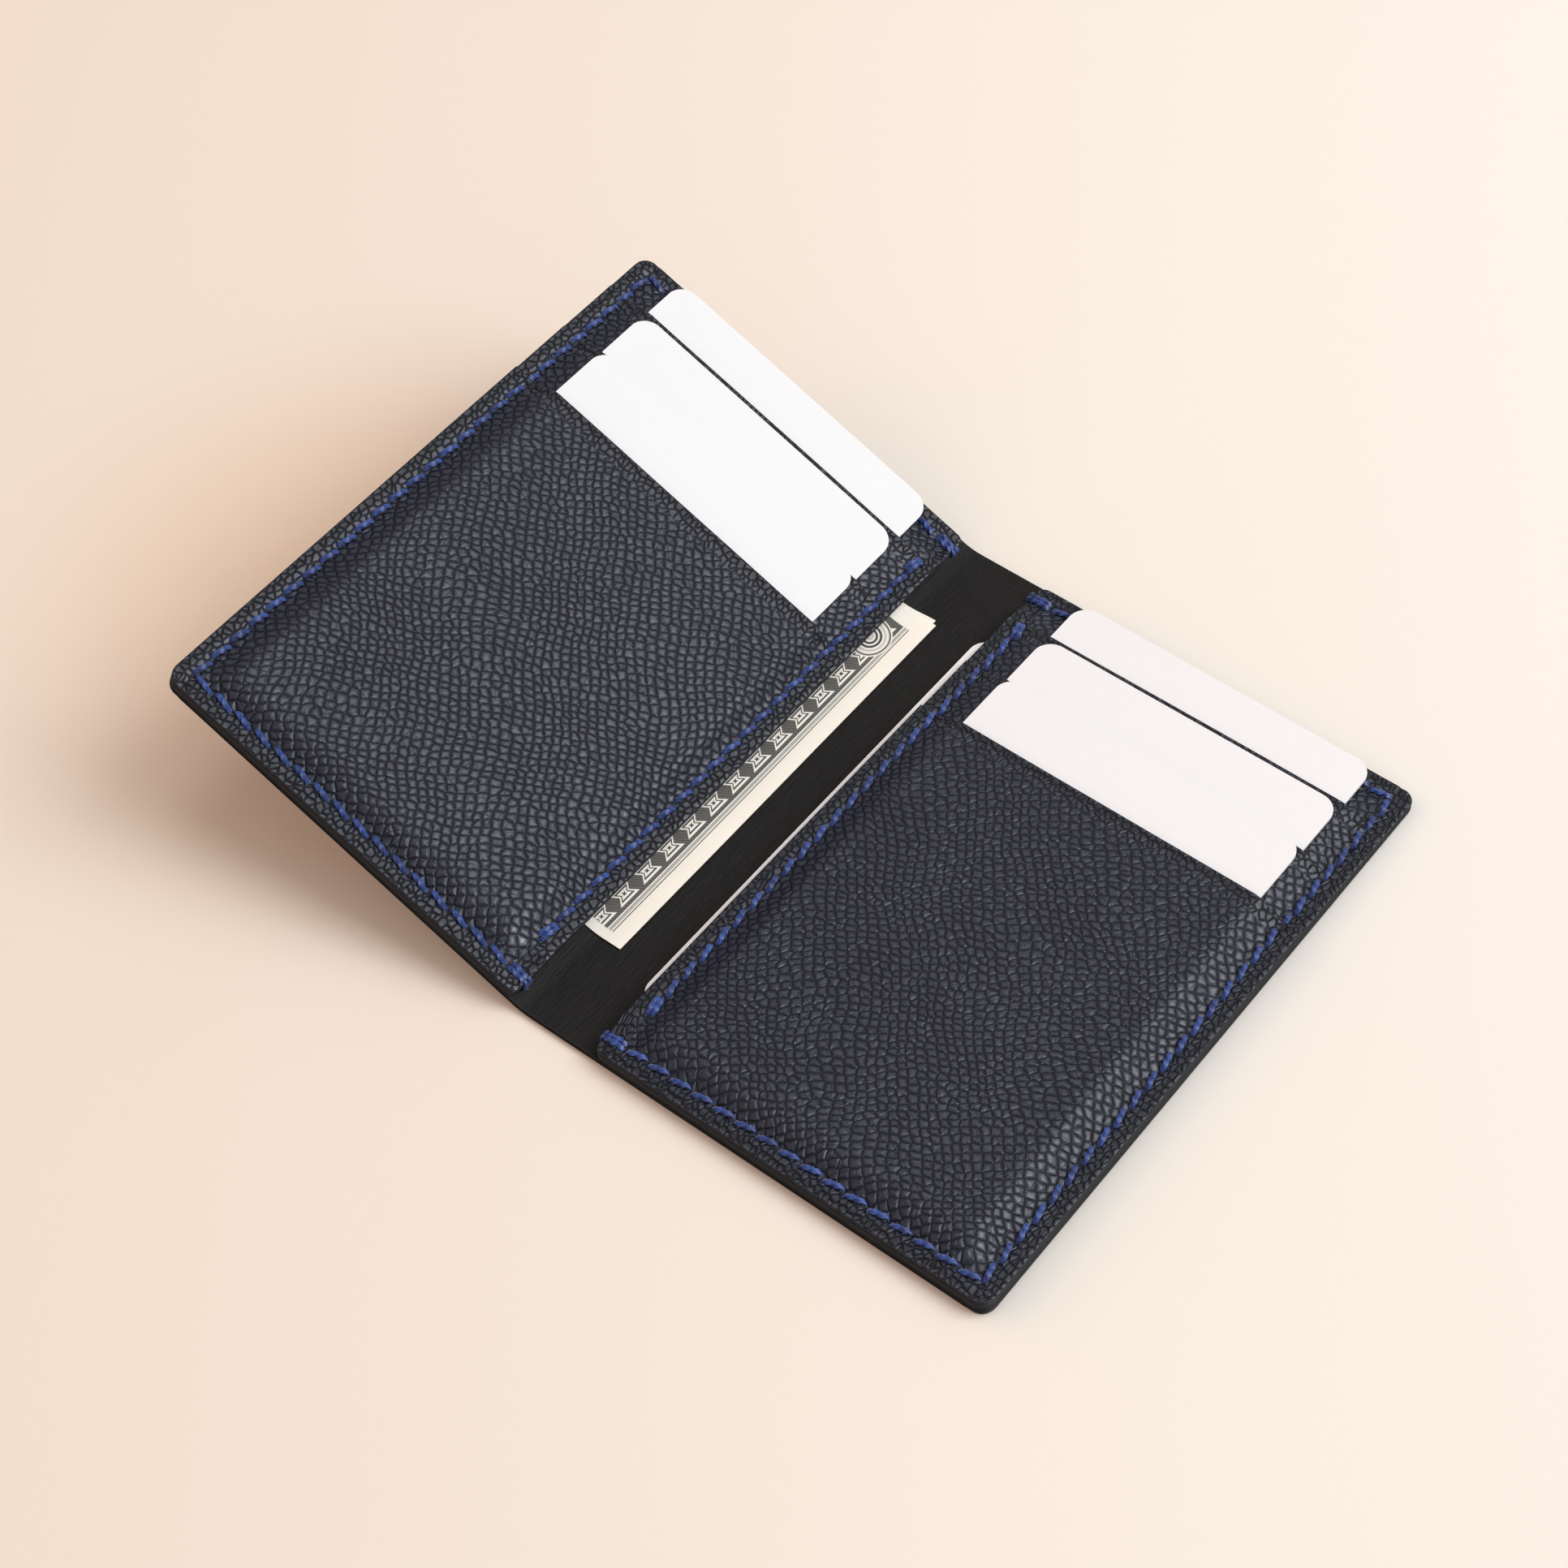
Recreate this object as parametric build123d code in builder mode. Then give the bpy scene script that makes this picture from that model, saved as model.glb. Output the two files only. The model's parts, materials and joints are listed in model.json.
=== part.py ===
from build123d import *
import os
from math import cos, radians, sin

# Vertical folding card wallet, lying open: the right wing and the spine rest flat and the left
# wing stands up at its fold. Millimetres, +Z up, +X across the opening towards the right wing,
# +Y along the spine towards the pocket mouths. The origin is the centre of the box's underside.
# Each wing is drawn in its own frame: u runs outwards from the panel's spine-side edge, v runs
# from the bottom edge towards the mouths, and w rises from the underside of the cover.

# ---- what the wallet holds ----
card_width = 54.0
card_height = 85.6
card_thickness = 0.4
card_radius = 3.18
note_length = 78.0           # a banknote folded in half
note_thickness = 0.3
note_out = 7.1               # how far it shows past the left panels
note_clearance = 2.3         # from its folded edge to the pocket's closed side
hidden_card_out = 1.4        # how far the loose card shows past the right panels
hidden_card_play = 0.6       # how far it may slip out before the fold meets it
hidden_card_low = 1.5        # how far below the middle it sits

# ---- leather and thread ----
cover_thickness = 0.9
lining_thickness = 0.3
back_thickness = 0.6
pocket_thickness = 0.35
front_thickness = 0.7
thread_width = 0.8
thread_thickness = 0.4
thread_recess = 0.05         # below the leather's surface, for bars that lie in a groove
post_radius = 0.35
hole_radius = 0.45
groove_clearance = 0.1
stitch_length = 3.9
outer_corner = 2.5
spine_corner = 1.5

# ---- layout of one wing ----
seam_inset = 3.0             # edge seam, from the edge
seam_land = 1.2              # flat leather between the seam and the swell over the cards
spine_seam_inset = 2.9       # seam along the panels' spine-side edge
spine_seam_margin = 8.8      # from the bottom edge to that seam's first hole
side_margin = 7.65           # from the edge of a card to the wing's outer edge
swell_width = 3.0            # width of the slope up to the level of the cards
swell_foot = 1.2             # the same at the pocket floor, which is steep
pocket_swell = 3.6           # slope of the pocket that opens towards the spine
card_seat = 0.2              # from the pocket floor to the front card
mouth_step = 11.8            # from one pocket mouth to the next
top_strip = 8.9              # from the highest mouth to the top edge
card_exposure = [8.6, 10.7, 12.2]   # what each card shows, from the back pocket to the front

# ---- clearances and motion ----
slot_clearance = 0.1         # card slot over the card's thickness
skin_gap = 0.05              # between a card or note and the leather that it lies on
fold_gap = 0.05              # between leathers that swing past each other at a fold
fold_clearance = 0.25        # between the closed spine and the loose card
closed_gap = 0.5             # between the two front pockets when the wallet is closed
rest_angle = 21.4            # how far the left wing stands up

# ---- levels above the underside of the cover ----
lining_level = cover_thickness
back_level = lining_level + lining_thickness
first_pocket_level = back_level + back_thickness
pocket_levels = [first_pocket_level, first_pocket_level + pocket_thickness,
                 first_pocket_level + 2 * pocket_thickness]
pocket_thicknesses = [pocket_thickness, pocket_thickness, front_thickness]
card_slot = card_thickness + slot_clearance
hidden_gap = note_thickness + card_thickness + 4 * skin_gap   # between lining and panels
pocket_rises = [hidden_gap + (index + 1) * card_slot for index in range(3)]
stack_top = pocket_levels[2] + front_thickness + pocket_rises[2]

# ---- sizes that follow ----
wing_width = card_width + 2 * side_margin
floor_v = seam_inset + 1.0                   # the swell over the cards starts here
card_floor = floor_v + swell_foot + card_seat
front_mouth = card_floor + card_height - card_exposure[2]
pocket_mouths = [front_mouth + 2 * mouth_step, front_mouth + mouth_step, front_mouth]
wing_height = pocket_mouths[0] + top_strip
card_u = side_margin
swell_outer = wing_width - seam_inset - seam_land
swell_spine = seam_inset + seam_land
pocket_plateau = swell_outer - pocket_swell
note_width = pocket_plateau - note_clearance + note_out

# ---- folds ----
hinge_w = cover_thickness / 2
cover_end = hinge_w + fold_gap
lining_end = hinge_w + lining_thickness + fold_gap
note_level = back_level + skin_gap
note_end = note_level + note_thickness - hinge_w + 4 * fold_gap
hidden_card_level = note_level + note_thickness + 2 * skin_gap
wrap_u = -(hole_radius + 0.15)               # the end stitch goes down here, past the panels' edge
left_land = lining_end + 2 * (hole_radius + 0.15)
right_land = hidden_card_out + hidden_card_play + back_level - hinge_w + fold_clearance
spine_width = 2 * stack_top - cover_thickness + closed_gap

lift = radians(rest_angle)
left_reach = (left_land + wing_width) * cos(lift) + hinge_w * sin(lift)
right_hinge_x = (left_reach + spine_width - right_land - wing_width) / 2
left_hinge_x = right_hinge_x - spine_width

OPEN = 20.0                  # how far a cut runs on past an open side


class Wing:
    """One wing's name, its frame and the way its v direction runs in that frame."""

    def __init__(self, name, plane, flipped, land):
        self.name = name
        self.plane = plane
        self.flipped = flipped
        self.land = land

    def y(self, v):
        return wing_height - v if self.flipped else v


left_out = Vector(-cos(lift), 0, sin(lift))
left_up = Vector(sin(lift), 0, cos(lift))
left_origin = Vector(left_hinge_x, wing_height / 2, hinge_w) + left_out * left_land - left_up * hinge_w
right_wing = Wing("right", Plane(origin=(right_hinge_x + right_land, -wing_height / 2, 0)), False, right_land)
left_wing = Wing("left", Plane(origin=left_origin, x_dir=left_out, z_dir=left_up), True, left_land)
spine_plane = Plane(origin=(left_hinge_x, -wing_height / 2, 0))


def finish(part, name):
    """Label a finished piece and write it."""
    part.label = name
    export_step(part, f"parts/{name}.step")


def rectangle(wing, level, u_low, u_high, v_low, v_high, outer=0.0, spine=0.0, both_ends=True):
    """A rectangle in a wing's frame, with its outer and spine-side corners rounded."""
    with BuildSketch(wing.plane.offset(level)) as outline:
        with Locations(((u_low + u_high) / 2, wing.y((v_low + v_high) / 2))):
            Rectangle(u_high - u_low, v_high - v_low)
        middle = (u_low + u_high) / 2
        for radius, is_outer in ((outer, True), (spine, False)):
            corners = outline.vertices().filter_by(lambda corner: (corner.X > middle) == is_outer)
            if not both_ends:
                low = wing.y(v_low)
                corners = corners.filter_by(lambda corner: abs(corner.Y - low) < 0.01)
            if radius > 0:
                fillet(corners, radius)
    return outline.sketch


def edge_seam_points():
    """Holes of the seam round the three outer sides, from the bottom spine-side end."""
    across = round((wing_width - seam_inset) / stitch_length)
    along = round((wing_height - 2 * seam_inset) / stitch_length)
    outer_u = wing_width - seam_inset
    rows = [outer_u * index / across for index in range(across + 1)]
    rows[0] = wrap_u
    rise = (wing_height - 2 * seam_inset) / along
    bottom = [(u, seam_inset) for u in rows]
    side = [(outer_u, seam_inset + rise * index) for index in range(1, along)]
    top = [(u, wing_height - seam_inset) for u in reversed(rows)]
    return bottom + side + top


def spine_seam_points():
    """Holes of the seam along the panels' spine-side edge."""
    run = pocket_mouths[0] - spine_seam_margin
    stitches = round(run / stitch_length)
    return [(spine_seam_inset, spine_seam_margin + run * index / stitches)
            for index in range(stitches + 1)]


def seam_level(v):
    """Top of the stitched margin at v, where fewer pockets lie towards the top."""
    level = first_pocket_level
    for base, thickness, mouth in zip(pocket_levels, pocket_thicknesses, pocket_mouths):
        if v < mouth:
            level = base + thickness
    return level


def hole_sketch(wing, level, points, radius):
    """A circle at each hole."""
    with BuildSketch(wing.plane.offset(level)) as circles:
        with Locations(*[(u, wing.y(v)) for u, v in points]):
            Circle(radius)
    return circles.sketch


def bar_sketch(wing, level, pairs, width):
    """A round-ended bar between each pair of holes."""
    with BuildSketch(wing.plane.offset(level)) as bars:
        for (u1, v1), (u2, v2) in pairs:
            length = abs(u2 - u1) + abs(v2 - v1)
            turn = 0 if abs(u2 - u1) > abs(v2 - v1) else 90
            with Locations(((u1 + u2) / 2, wing.y((v1 + v2) / 2))):
                SlotCenterToCenter(length, width, rotation=turn)
    return bars.sketch


def neighbours(points):
    """Each hole with the next one along the seam."""
    return list(zip(points, points[1:]))


edge_seam = edge_seam_points()
spine_seam = spine_seam_points()


def swells(wing, level, card_rise):
    """Loft sections of the swell over the spine-side pocket and, if asked, over the cards."""
    sections = [(
        rectangle(wing, level, -OPEN, swell_outer, swell_spine, wing_height - swell_spine),
        rectangle(wing, level + hidden_gap, -OPEN, pocket_plateau,
                  swell_spine + pocket_swell, wing_height - swell_spine - pocket_swell),
    )]
    if card_rise > 0:
        sections.append((
            rectangle(wing, level, swell_spine, swell_outer, floor_v, wing_height + OPEN),
            rectangle(wing, level + card_rise, card_u - card_seat * 2, card_u + card_width + card_seat * 2,
                      floor_v + swell_foot, wing_height + OPEN),
        ))
    return sections


def make_sheet(wing, level, thickness, mouth, card_rise, seams):
    """A leather sheet of the inner stack: flat where it is sewn, raised over what it holds."""
    is_full = mouth >= wing_height
    size = (0, wing_width, 0, min(mouth, wing_height), outer_corner, spine_corner, is_full)
    with BuildPart() as sheet:
        extrude(rectangle(wing, level, *size), amount=thickness)
        for base, top in swells(wing, level + thickness, card_rise):
            loft([base.face(), top.face()])
        reach = thickness + max(card_rise, hidden_gap) + 1
        extrude(rectangle(wing, level, *size), amount=reach, mode=Mode.INTERSECT)
        for base, top in swells(wing, level, card_rise):
            loft([base.face(), top.face()], mode=Mode.SUBTRACT)
        for seam in seams:
            inside = [(u, v) for u, v in seam if u > 0 and v < mouth + hole_radius]
            holes = hole_sketch(wing, level - 1, inside, hole_radius)
            extrude(holes, amount=reach + 1, mode=Mode.SUBTRACT)
        if level == back_level:
            groove = bar_sketch(wing, level + hidden_gap, neighbours(spine_seam), thread_width + groove_clearance)
            extrude(groove, amount=thread_thickness + thread_recess, mode=Mode.SUBTRACT)
    return sheet.part


def make_cover(wing):
    """The wing's part of the cover, with the stitch groove in its underside."""
    size = (cover_end - wing.land, wing_width, 0, wing_height, outer_corner)
    with BuildPart() as cover:
        extrude(rectangle(wing, 0, *size), amount=cover_thickness)
        extrude(hole_sketch(wing, 0, edge_seam, hole_radius), amount=cover_thickness, mode=Mode.SUBTRACT)
        groove = bar_sketch(wing, 0, neighbours(edge_seam), thread_width + groove_clearance)
        extrude(groove, amount=thread_thickness + thread_recess, mode=Mode.SUBTRACT)
    return cover.part


def make_lining(wing):
    """The wing's part of the smooth lining, which lies on the cover."""
    size = (lining_end - wing.land, wing_width, 0, wing_height, outer_corner)
    with BuildPart() as lining:
        extrude(rectangle(wing, lining_level, *size), amount=lining_thickness)
        holes = hole_sketch(wing, lining_level, edge_seam, hole_radius)
        extrude(holes, amount=lining_thickness, mode=Mode.SUBTRACT)
    return lining.part


def make_thread(wing, points, under_level, lift_w):
    """Saddle stitching: a bar over and under each stitch, joined by a post in every hole."""
    pairs = neighbours(points)
    bar_levels = [lift_w + max(seam_level(start[1]), seam_level(end[1])) for start, end in pairs]
    post_levels = [max(pair) for pair in zip(bar_levels[:1] + bar_levels, bar_levels + bar_levels[-1:])]
    with BuildPart() as thread:
        extrude(bar_sketch(wing, under_level, pairs, thread_width), amount=thread_thickness - thread_recess)
        for level in sorted(set(post_levels)):
            posts = [point for point, top in zip(points, post_levels) if top == level]
            extrude(hole_sketch(wing, under_level, posts, post_radius),
                    amount=level + thread_thickness - under_level)
        for level in sorted(set(bar_levels)):
            bars = [pair for pair, base in zip(pairs, bar_levels) if base == level]
            extrude(bar_sketch(wing, level, bars, thread_width), amount=thread_thickness)
    return thread.part


def make_card(wing, level, u_low, v_low):
    """A blank card with rounded corners."""
    with BuildPart() as card:
        outline = rectangle(wing, level, u_low, u_low + card_width, v_low, v_low + card_height,
                            card_radius, card_radius)
        extrude(outline, amount=card_thickness)
    return card.part


os.makedirs("parts", exist_ok=True)

for wing in (right_wing, left_wing):
    side = wing.name
    finish(make_cover(wing), f"cover_{side}")
    finish(make_lining(wing), f"lining_{side}")
    back = make_sheet(wing, back_level, back_thickness, wing_height, 0, [edge_seam, spine_seam])
    finish(back, f"back_panel_{side}")
    for index, name in enumerate(("pocket_1", "pocket_2", "front_pocket")):
        pocket = make_sheet(wing, pocket_levels[index], pocket_thicknesses[index],
                            pocket_mouths[index], pocket_rises[index], [edge_seam, spine_seam])
        finish(pocket, f"{name}_{side}")
        card_level = pocket_levels[index] + pocket_rises[index] - card_slot + skin_gap
        card_v = pocket_mouths[index] + card_exposure[index] - card_height
        finish(make_card(wing, card_level, card_u, card_v), f"card_{index + 1}_{side}")
    finish(make_thread(wing, edge_seam, thread_recess, 0), f"edge_thread_{side}")
    under = back_level + hidden_gap + thread_recess
    finish(make_thread(wing, spine_seam, under, hidden_gap), f"spine_thread_{side}")

# The loose card in the pocket between lining and panels of the right wing.
hidden_card_v = (wing_height - card_height) / 2 - hidden_card_low
finish(make_card(right_wing, hidden_card_level, -hidden_card_out, hidden_card_v), "hidden_card")

# The folded banknote in the same pocket of the left wing: the stretch inside the pocket, and
# the end that lies over the spine.
note_v = (wing_height - note_length) / 2
with BuildPart() as banknote_in_pocket:
    extrude(rectangle(left_wing, note_level, note_end - left_land, note_width - note_out,
                      note_v, note_v + note_length), amount=note_thickness)
finish(banknote_in_pocket.part, "banknote_in_pocket")

with BuildPart() as banknote_end:
    with BuildSketch(spine_plane.offset(note_level)):
        with Locations((note_end, note_v)):
            Rectangle(note_out - left_land - note_end, note_length, align=Align.MIN)
    extrude(amount=note_thickness)
finish(banknote_end.part, "banknote_end")

# The spine: the stretch of cover and lining between the two folds.
with BuildPart() as cover_spine:
    with BuildSketch(spine_plane):
        with Locations((cover_end, 0)):
            Rectangle(spine_width - 2 * cover_end, wing_height, align=Align.MIN)
    extrude(amount=cover_thickness)
finish(cover_spine.part, "cover_spine")

with BuildPart() as lining_spine:
    with BuildSketch(spine_plane.offset(lining_level)):
        with Locations((lining_end, 0)):
            Rectangle(spine_width - 2 * lining_end, wing_height, align=Align.MIN)
    extrude(amount=lining_thickness)
finish(lining_spine.part, "lining_spine")

print("wing", wing_width, "x", wing_height, "stack", round(stack_top, 2), "spine", round(spine_width, 2))
print("hinges at x", round(left_hinge_x, 4), round(right_hinge_x, 4), "z", hinge_w)
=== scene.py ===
import json
import logging
import math
from dataclasses import dataclass, field
from enum import Enum
from typing import Callable, Iterable, Sequence

import bpy
import numpy as np
from mathutils import Matrix, Vector, noise


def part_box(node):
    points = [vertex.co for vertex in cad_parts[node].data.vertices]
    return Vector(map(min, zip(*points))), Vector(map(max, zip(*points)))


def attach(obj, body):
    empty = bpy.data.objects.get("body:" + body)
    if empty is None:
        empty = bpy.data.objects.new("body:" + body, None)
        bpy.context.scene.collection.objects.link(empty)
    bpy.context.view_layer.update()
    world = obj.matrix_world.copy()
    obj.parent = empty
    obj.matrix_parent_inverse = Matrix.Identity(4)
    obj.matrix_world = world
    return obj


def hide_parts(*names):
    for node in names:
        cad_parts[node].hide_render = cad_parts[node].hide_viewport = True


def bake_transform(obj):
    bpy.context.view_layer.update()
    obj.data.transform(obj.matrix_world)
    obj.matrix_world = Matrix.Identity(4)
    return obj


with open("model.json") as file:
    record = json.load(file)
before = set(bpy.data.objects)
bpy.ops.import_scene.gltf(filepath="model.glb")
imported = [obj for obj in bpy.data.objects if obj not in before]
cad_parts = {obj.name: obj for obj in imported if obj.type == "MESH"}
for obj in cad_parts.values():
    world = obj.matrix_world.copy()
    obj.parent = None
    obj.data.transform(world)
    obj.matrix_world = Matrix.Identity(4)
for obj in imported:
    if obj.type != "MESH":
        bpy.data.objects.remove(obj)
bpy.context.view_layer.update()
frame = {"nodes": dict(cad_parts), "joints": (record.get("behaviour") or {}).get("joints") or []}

MM = 0.001
CM_PER_MM = 0.1
# What the finishes read from a sheet's mesh: flat places, and distances to the nearest cut edge.
PATTERN = "leather"
EDGE_GAP = "edge_gap"
# Lines of points beside each edge of a sheet, and the narrowest gap between those further in, in millimetres.
EDGE_LINES = (0.0, 0.06, 0.14, 0.28, 0.6, 1.2)
CLOSEST_LINES = 0.2
# How far from a needle hole the leather is still dented, in millimetres.
NEAR_HOLE = 1.6
# Faces of the thread that meet at fewer degrees than this are shaded as one.
STITCH_ANGLE = 75.0
log = logging.getLogger("wallet")

Array = np.ndarray
Point = tuple[float, float]
Colour = tuple[float, float, float]


class Side(Enum):
    """The two wings of the wallet."""

    RIGHT = "right"
    LEFT = "left"


class Facing(Enum):
    """Which face of a sheet is shaped: the other one follows it at the sheet's thickness."""

    UP = -1.0
    DOWN = 1.0


# ---------------------------------------------------------------- sizes, in millimetres


@dataclass(frozen=True)
class WalletSizes:
    """Sizes of the wallet, in millimetres.

    Attributes:
        wing_width: width of the panels of one wing.
        wing_height: height of the wallet.
        hinge_height: height of the folds' axes.
        right_hinge_x: place of the right fold.
        left_hinge_x: place of the left fold.
        lift: angle of the raised left wing, in radians.
        right_land: distance from the right fold to the panels.
        left_land: distance from the left fold to the panels.
        mouths: heights of the three card pockets' mouths, the highest one first.
        cover, lining, back, pocket, front: thicknesses of the leathers, from the outside in.
        hidden_gap: room in the pocket that opens at the spine.
        card_slot: room for one card.
        seam_inset: distance of the edge seam from the edges.
        spine_seam_inset: distance of the other seam from the panels' spine-side edge.
        spine_seam_start: how far up it starts.
        stitch: length of one stitch.
        wrap: how far the seam's end goes over the panels' edge.
        corner: radius of the outer corners.
        spine_corner: radius of the panels' spine-side corners.
    """

    wing_width: float
    wing_height: float
    hinge_height: float
    right_hinge_x: float
    left_hinge_x: float
    lift: float
    right_land: float
    left_land: float
    mouths: tuple[float, float, float]
    cover: float = 0.9
    lining: float = 0.3
    back: float = 0.6
    pocket: float = 0.35
    front: float = 0.7
    hidden_gap: float = 0.9
    card_slot: float = 0.5
    seam_inset: float = 3.0
    spine_seam_inset: float = 2.9
    spine_seam_start: float = 8.8
    stitch: float = 3.9
    wrap: float = 0.6
    corner: float = 2.5
    spine_corner: float = 1.5

    @classmethod
    def from_frame(cls) -> "WalletSizes":
        """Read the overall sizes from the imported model.

        Returns:
            The sizes, in millimetres.
        """
        joints = {joint["name"]: joint for joint in frame["joints"]}
        right_hinge = joints["right_fold"]["pos_m"]
        left_hinge = joints["left_fold"]["pos_m"]
        low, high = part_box("back_panel_right")
        left_low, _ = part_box("cover_left")
        lift = -math.radians(joints["left_fold"]["range_deg"][0])
        width = (high.x - low.x) / MM
        mouths = tuple((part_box(node)[1].y - low.y) / MM
                       for node in ("pocket_1_right", "pocket_2_right", "front_pocket_right"))
        reach = (left_hinge[0] - left_low.x) / MM - right_hinge[2] / MM * math.sin(lift)
        return cls(wing_width=width, wing_height=(high.y - low.y) / MM, hinge_height=right_hinge[2] / MM,
                   right_hinge_x=right_hinge[0] / MM, left_hinge_x=left_hinge[0] / MM, lift=lift,
                   right_land=(low.x - right_hinge[0]) / MM,
                   left_land=reach / math.cos(lift) - width, mouths=mouths)

    @property
    def back_level(self) -> float:
        """Height of the lining's upper face."""
        return self.cover + self.lining

    @property
    def stack(self) -> tuple[float, float, float, float]:
        """Thicknesses of the back panel and the three card pockets."""
        return self.back, self.pocket, self.pocket, self.front

    @property
    def seam_u(self) -> float:
        """Distance of the outer seam from the panels' spine-side edge."""
        return self.wing_width - self.seam_inset

    @property
    def spine_width(self) -> float:
        """Distance between the two folds."""
        return self.right_hinge_x - self.left_hinge_x

    def land(self, side: Side) -> float:
        """Distance from the fold to the panels' spine-side edge."""
        return self.right_land if side is Side.RIGHT else self.left_land

    def margin_level(self, v: float) -> float:
        """Height of the stitched margin, which drops at each pocket mouth.

        Args:
            v: distance from the bottom edge.

        Returns:
            The height above the underside of the cover.
        """
        level = self.back_level + self.back
        for mouth, thickness in zip(self.mouths, self.stack[1:]):
            if v < mouth:
                level += thickness
        return level


SIZES = WalletSizes.from_frame()


def smooth(value: Array | float) -> Array | float:
    """Ease from 0 to 1 as the value goes from 0 to 1."""
    held = np.clip(value, 0.0, 1.0)
    return held * held * (3.0 - 2.0 * held)


def ripple(points_u: Array, points_v: Array, scale: float, seed: float) -> Array:
    """Slow unevenness of hand-cut leather, from -1 to 1.

    Args:
        points_u: distances outwards.
        points_v: distances from the bottom edge.
        scale: size of one wave.
        seed: a different value gives a different surface.

    Returns:
        One value for each point.
    """
    return np.array([noise.noise(Vector((u / scale, v / scale, seed))) for u, v in zip(points_u, points_v)])


class WingSpace:
    """Turns flat leather measures of one wing into places in the wallet as it lies open.

    Attributes:
        bend_reach: length of leather that bends, on each side of a fold.
    """

    bend_reach: float = 2.0

    def __init__(self, side: Side) -> None:
        """Take the side whose fold and plane are used."""
        self.side = side

    def place(self, u: Array, v: Array, w: Array) -> Array:
        """Find where flat leather lies in the wallet.

        Args:
            u: distance outwards from the panels' spine-side edge.
            v: distance from the bottom edge.
            w: height above the underside of the cover.

        Returns:
            An array of points in metres.
        """
        size = SIZES
        out = u + size.land(self.side)
        y = v - size.wing_height / 2
        if self.side is Side.RIGHT:
            return np.stack([size.right_hinge_x + out, y, w], axis=1) * MM
        reach, lift, above = self.bend_reach, size.lift, w - size.hinge_height
        radius = reach / math.tan(lift / 2)
        wing_x = -math.cos(lift) * out + math.sin(lift) * above
        wing_z = math.sin(lift) * out + math.cos(lift) * above
        turn = lift * (out + reach) / (2 * reach)
        bend_x = reach - (radius - above) * np.sin(turn)
        bend_z = radius - (radius - above) * np.cos(turn)
        x = np.where(out > reach, wing_x, np.where(out < -reach, -out, bend_x))
        z = np.where(out > reach, wing_z, np.where(out < -reach, above, bend_z))
        return np.stack([size.left_hinge_x + x, y, size.hinge_height + z], axis=1) * MM

    @property
    def body(self) -> str:
        """Name of the wing's body."""
        return f"{self.side.value}_wing"


# ---------------------------------------------------------------- seams


@dataclass(frozen=True)
class Seams:
    """Where the needle holes lie in one wing.

    Attributes:
        edge: those round its three outer sides, from the spine and back to it.
        spine: those along the panels' spine side, from the bottom up.
    """

    edge: tuple[Point, ...]
    spine: tuple[Point, ...]

    @classmethod
    def laid_out(cls) -> "Seams":
        """Space the holes evenly along both seams.

        Returns:
            The holes of both seams.
        """
        size = SIZES
        outer = size.seam_u
        across = round(outer / size.stitch)
        along = round((size.wing_height - 2 * size.seam_inset) / size.stitch)
        rows = [-size.wrap] + [outer * index / across for index in range(1, across + 1)]
        rise = (size.wing_height - 2 * size.seam_inset) / along
        bottom = [(u, size.seam_inset) for u in rows]
        up_side = [(outer, size.seam_inset + rise * index) for index in range(1, along)]
        top = [(u, size.wing_height - size.seam_inset) for u in reversed(rows)]
        run = size.mouths[0] - size.spine_seam_start
        count = round(run / size.stitch)
        spine = [(size.spine_seam_inset, size.spine_seam_start + run * index / count)
                 for index in range(count + 1)]
        return cls(tuple(bottom + up_side + top), tuple(spine))

    def all_holes(self) -> tuple[Point, ...]:
        """Every hole of the wing."""
        return self.edge + self.spine


SEAMS = Seams.laid_out()


def ruled(low: float, high: float, marks: Iterable[float], step: float) -> Array:
    """Lay out the lines of a sheet's mesh, closer together beside its edges.

    Args:
        low: where the sheet starts.
        high: where it ends.
        marks: places that need a line of their own.
        step: the widest gap between lines.

    Returns:
        The lines, in order.
    """
    kept = [low + gap for gap in EDGE_LINES] + [high - gap for gap in reversed(EDGE_LINES)]
    first, last = low + EDGE_LINES[-1], high - EDGE_LINES[-1]
    for mark in sorted(marks):
        if first < mark < last and all(abs(mark - line) > CLOSEST_LINES for line in kept):
            kept.append(mark)
    kept.sort()
    filled: list[float] = []
    for start, end in zip(kept, kept[1:]):
        parts = max(1, math.ceil((end - start) / step - 1e-6))
        filled.extend(start + (end - start) * part / parts for part in range(parts))
    filled.append(kept[-1])
    return np.array(filled)


def hole_marks(holes: Sequence[Point], axis: int, spread: float = 0.38) -> list[float]:
    """Find where a sheet needs lines for its needle holes: through them and just beside them.

    Args:
        holes: the holes.
        axis: 0 for distances outwards, 1 for distances from the bottom edge.
        spread: distance from the hole to the lines beside it.

    Returns:
        The places that need a line.
    """
    middles = sorted({round(hole[axis], 4) for hole in holes})
    return middles + [middle + shift for middle in middles for shift in (-spread, spread)]


# ---------------------------------------------------------------- shader graph


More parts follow.
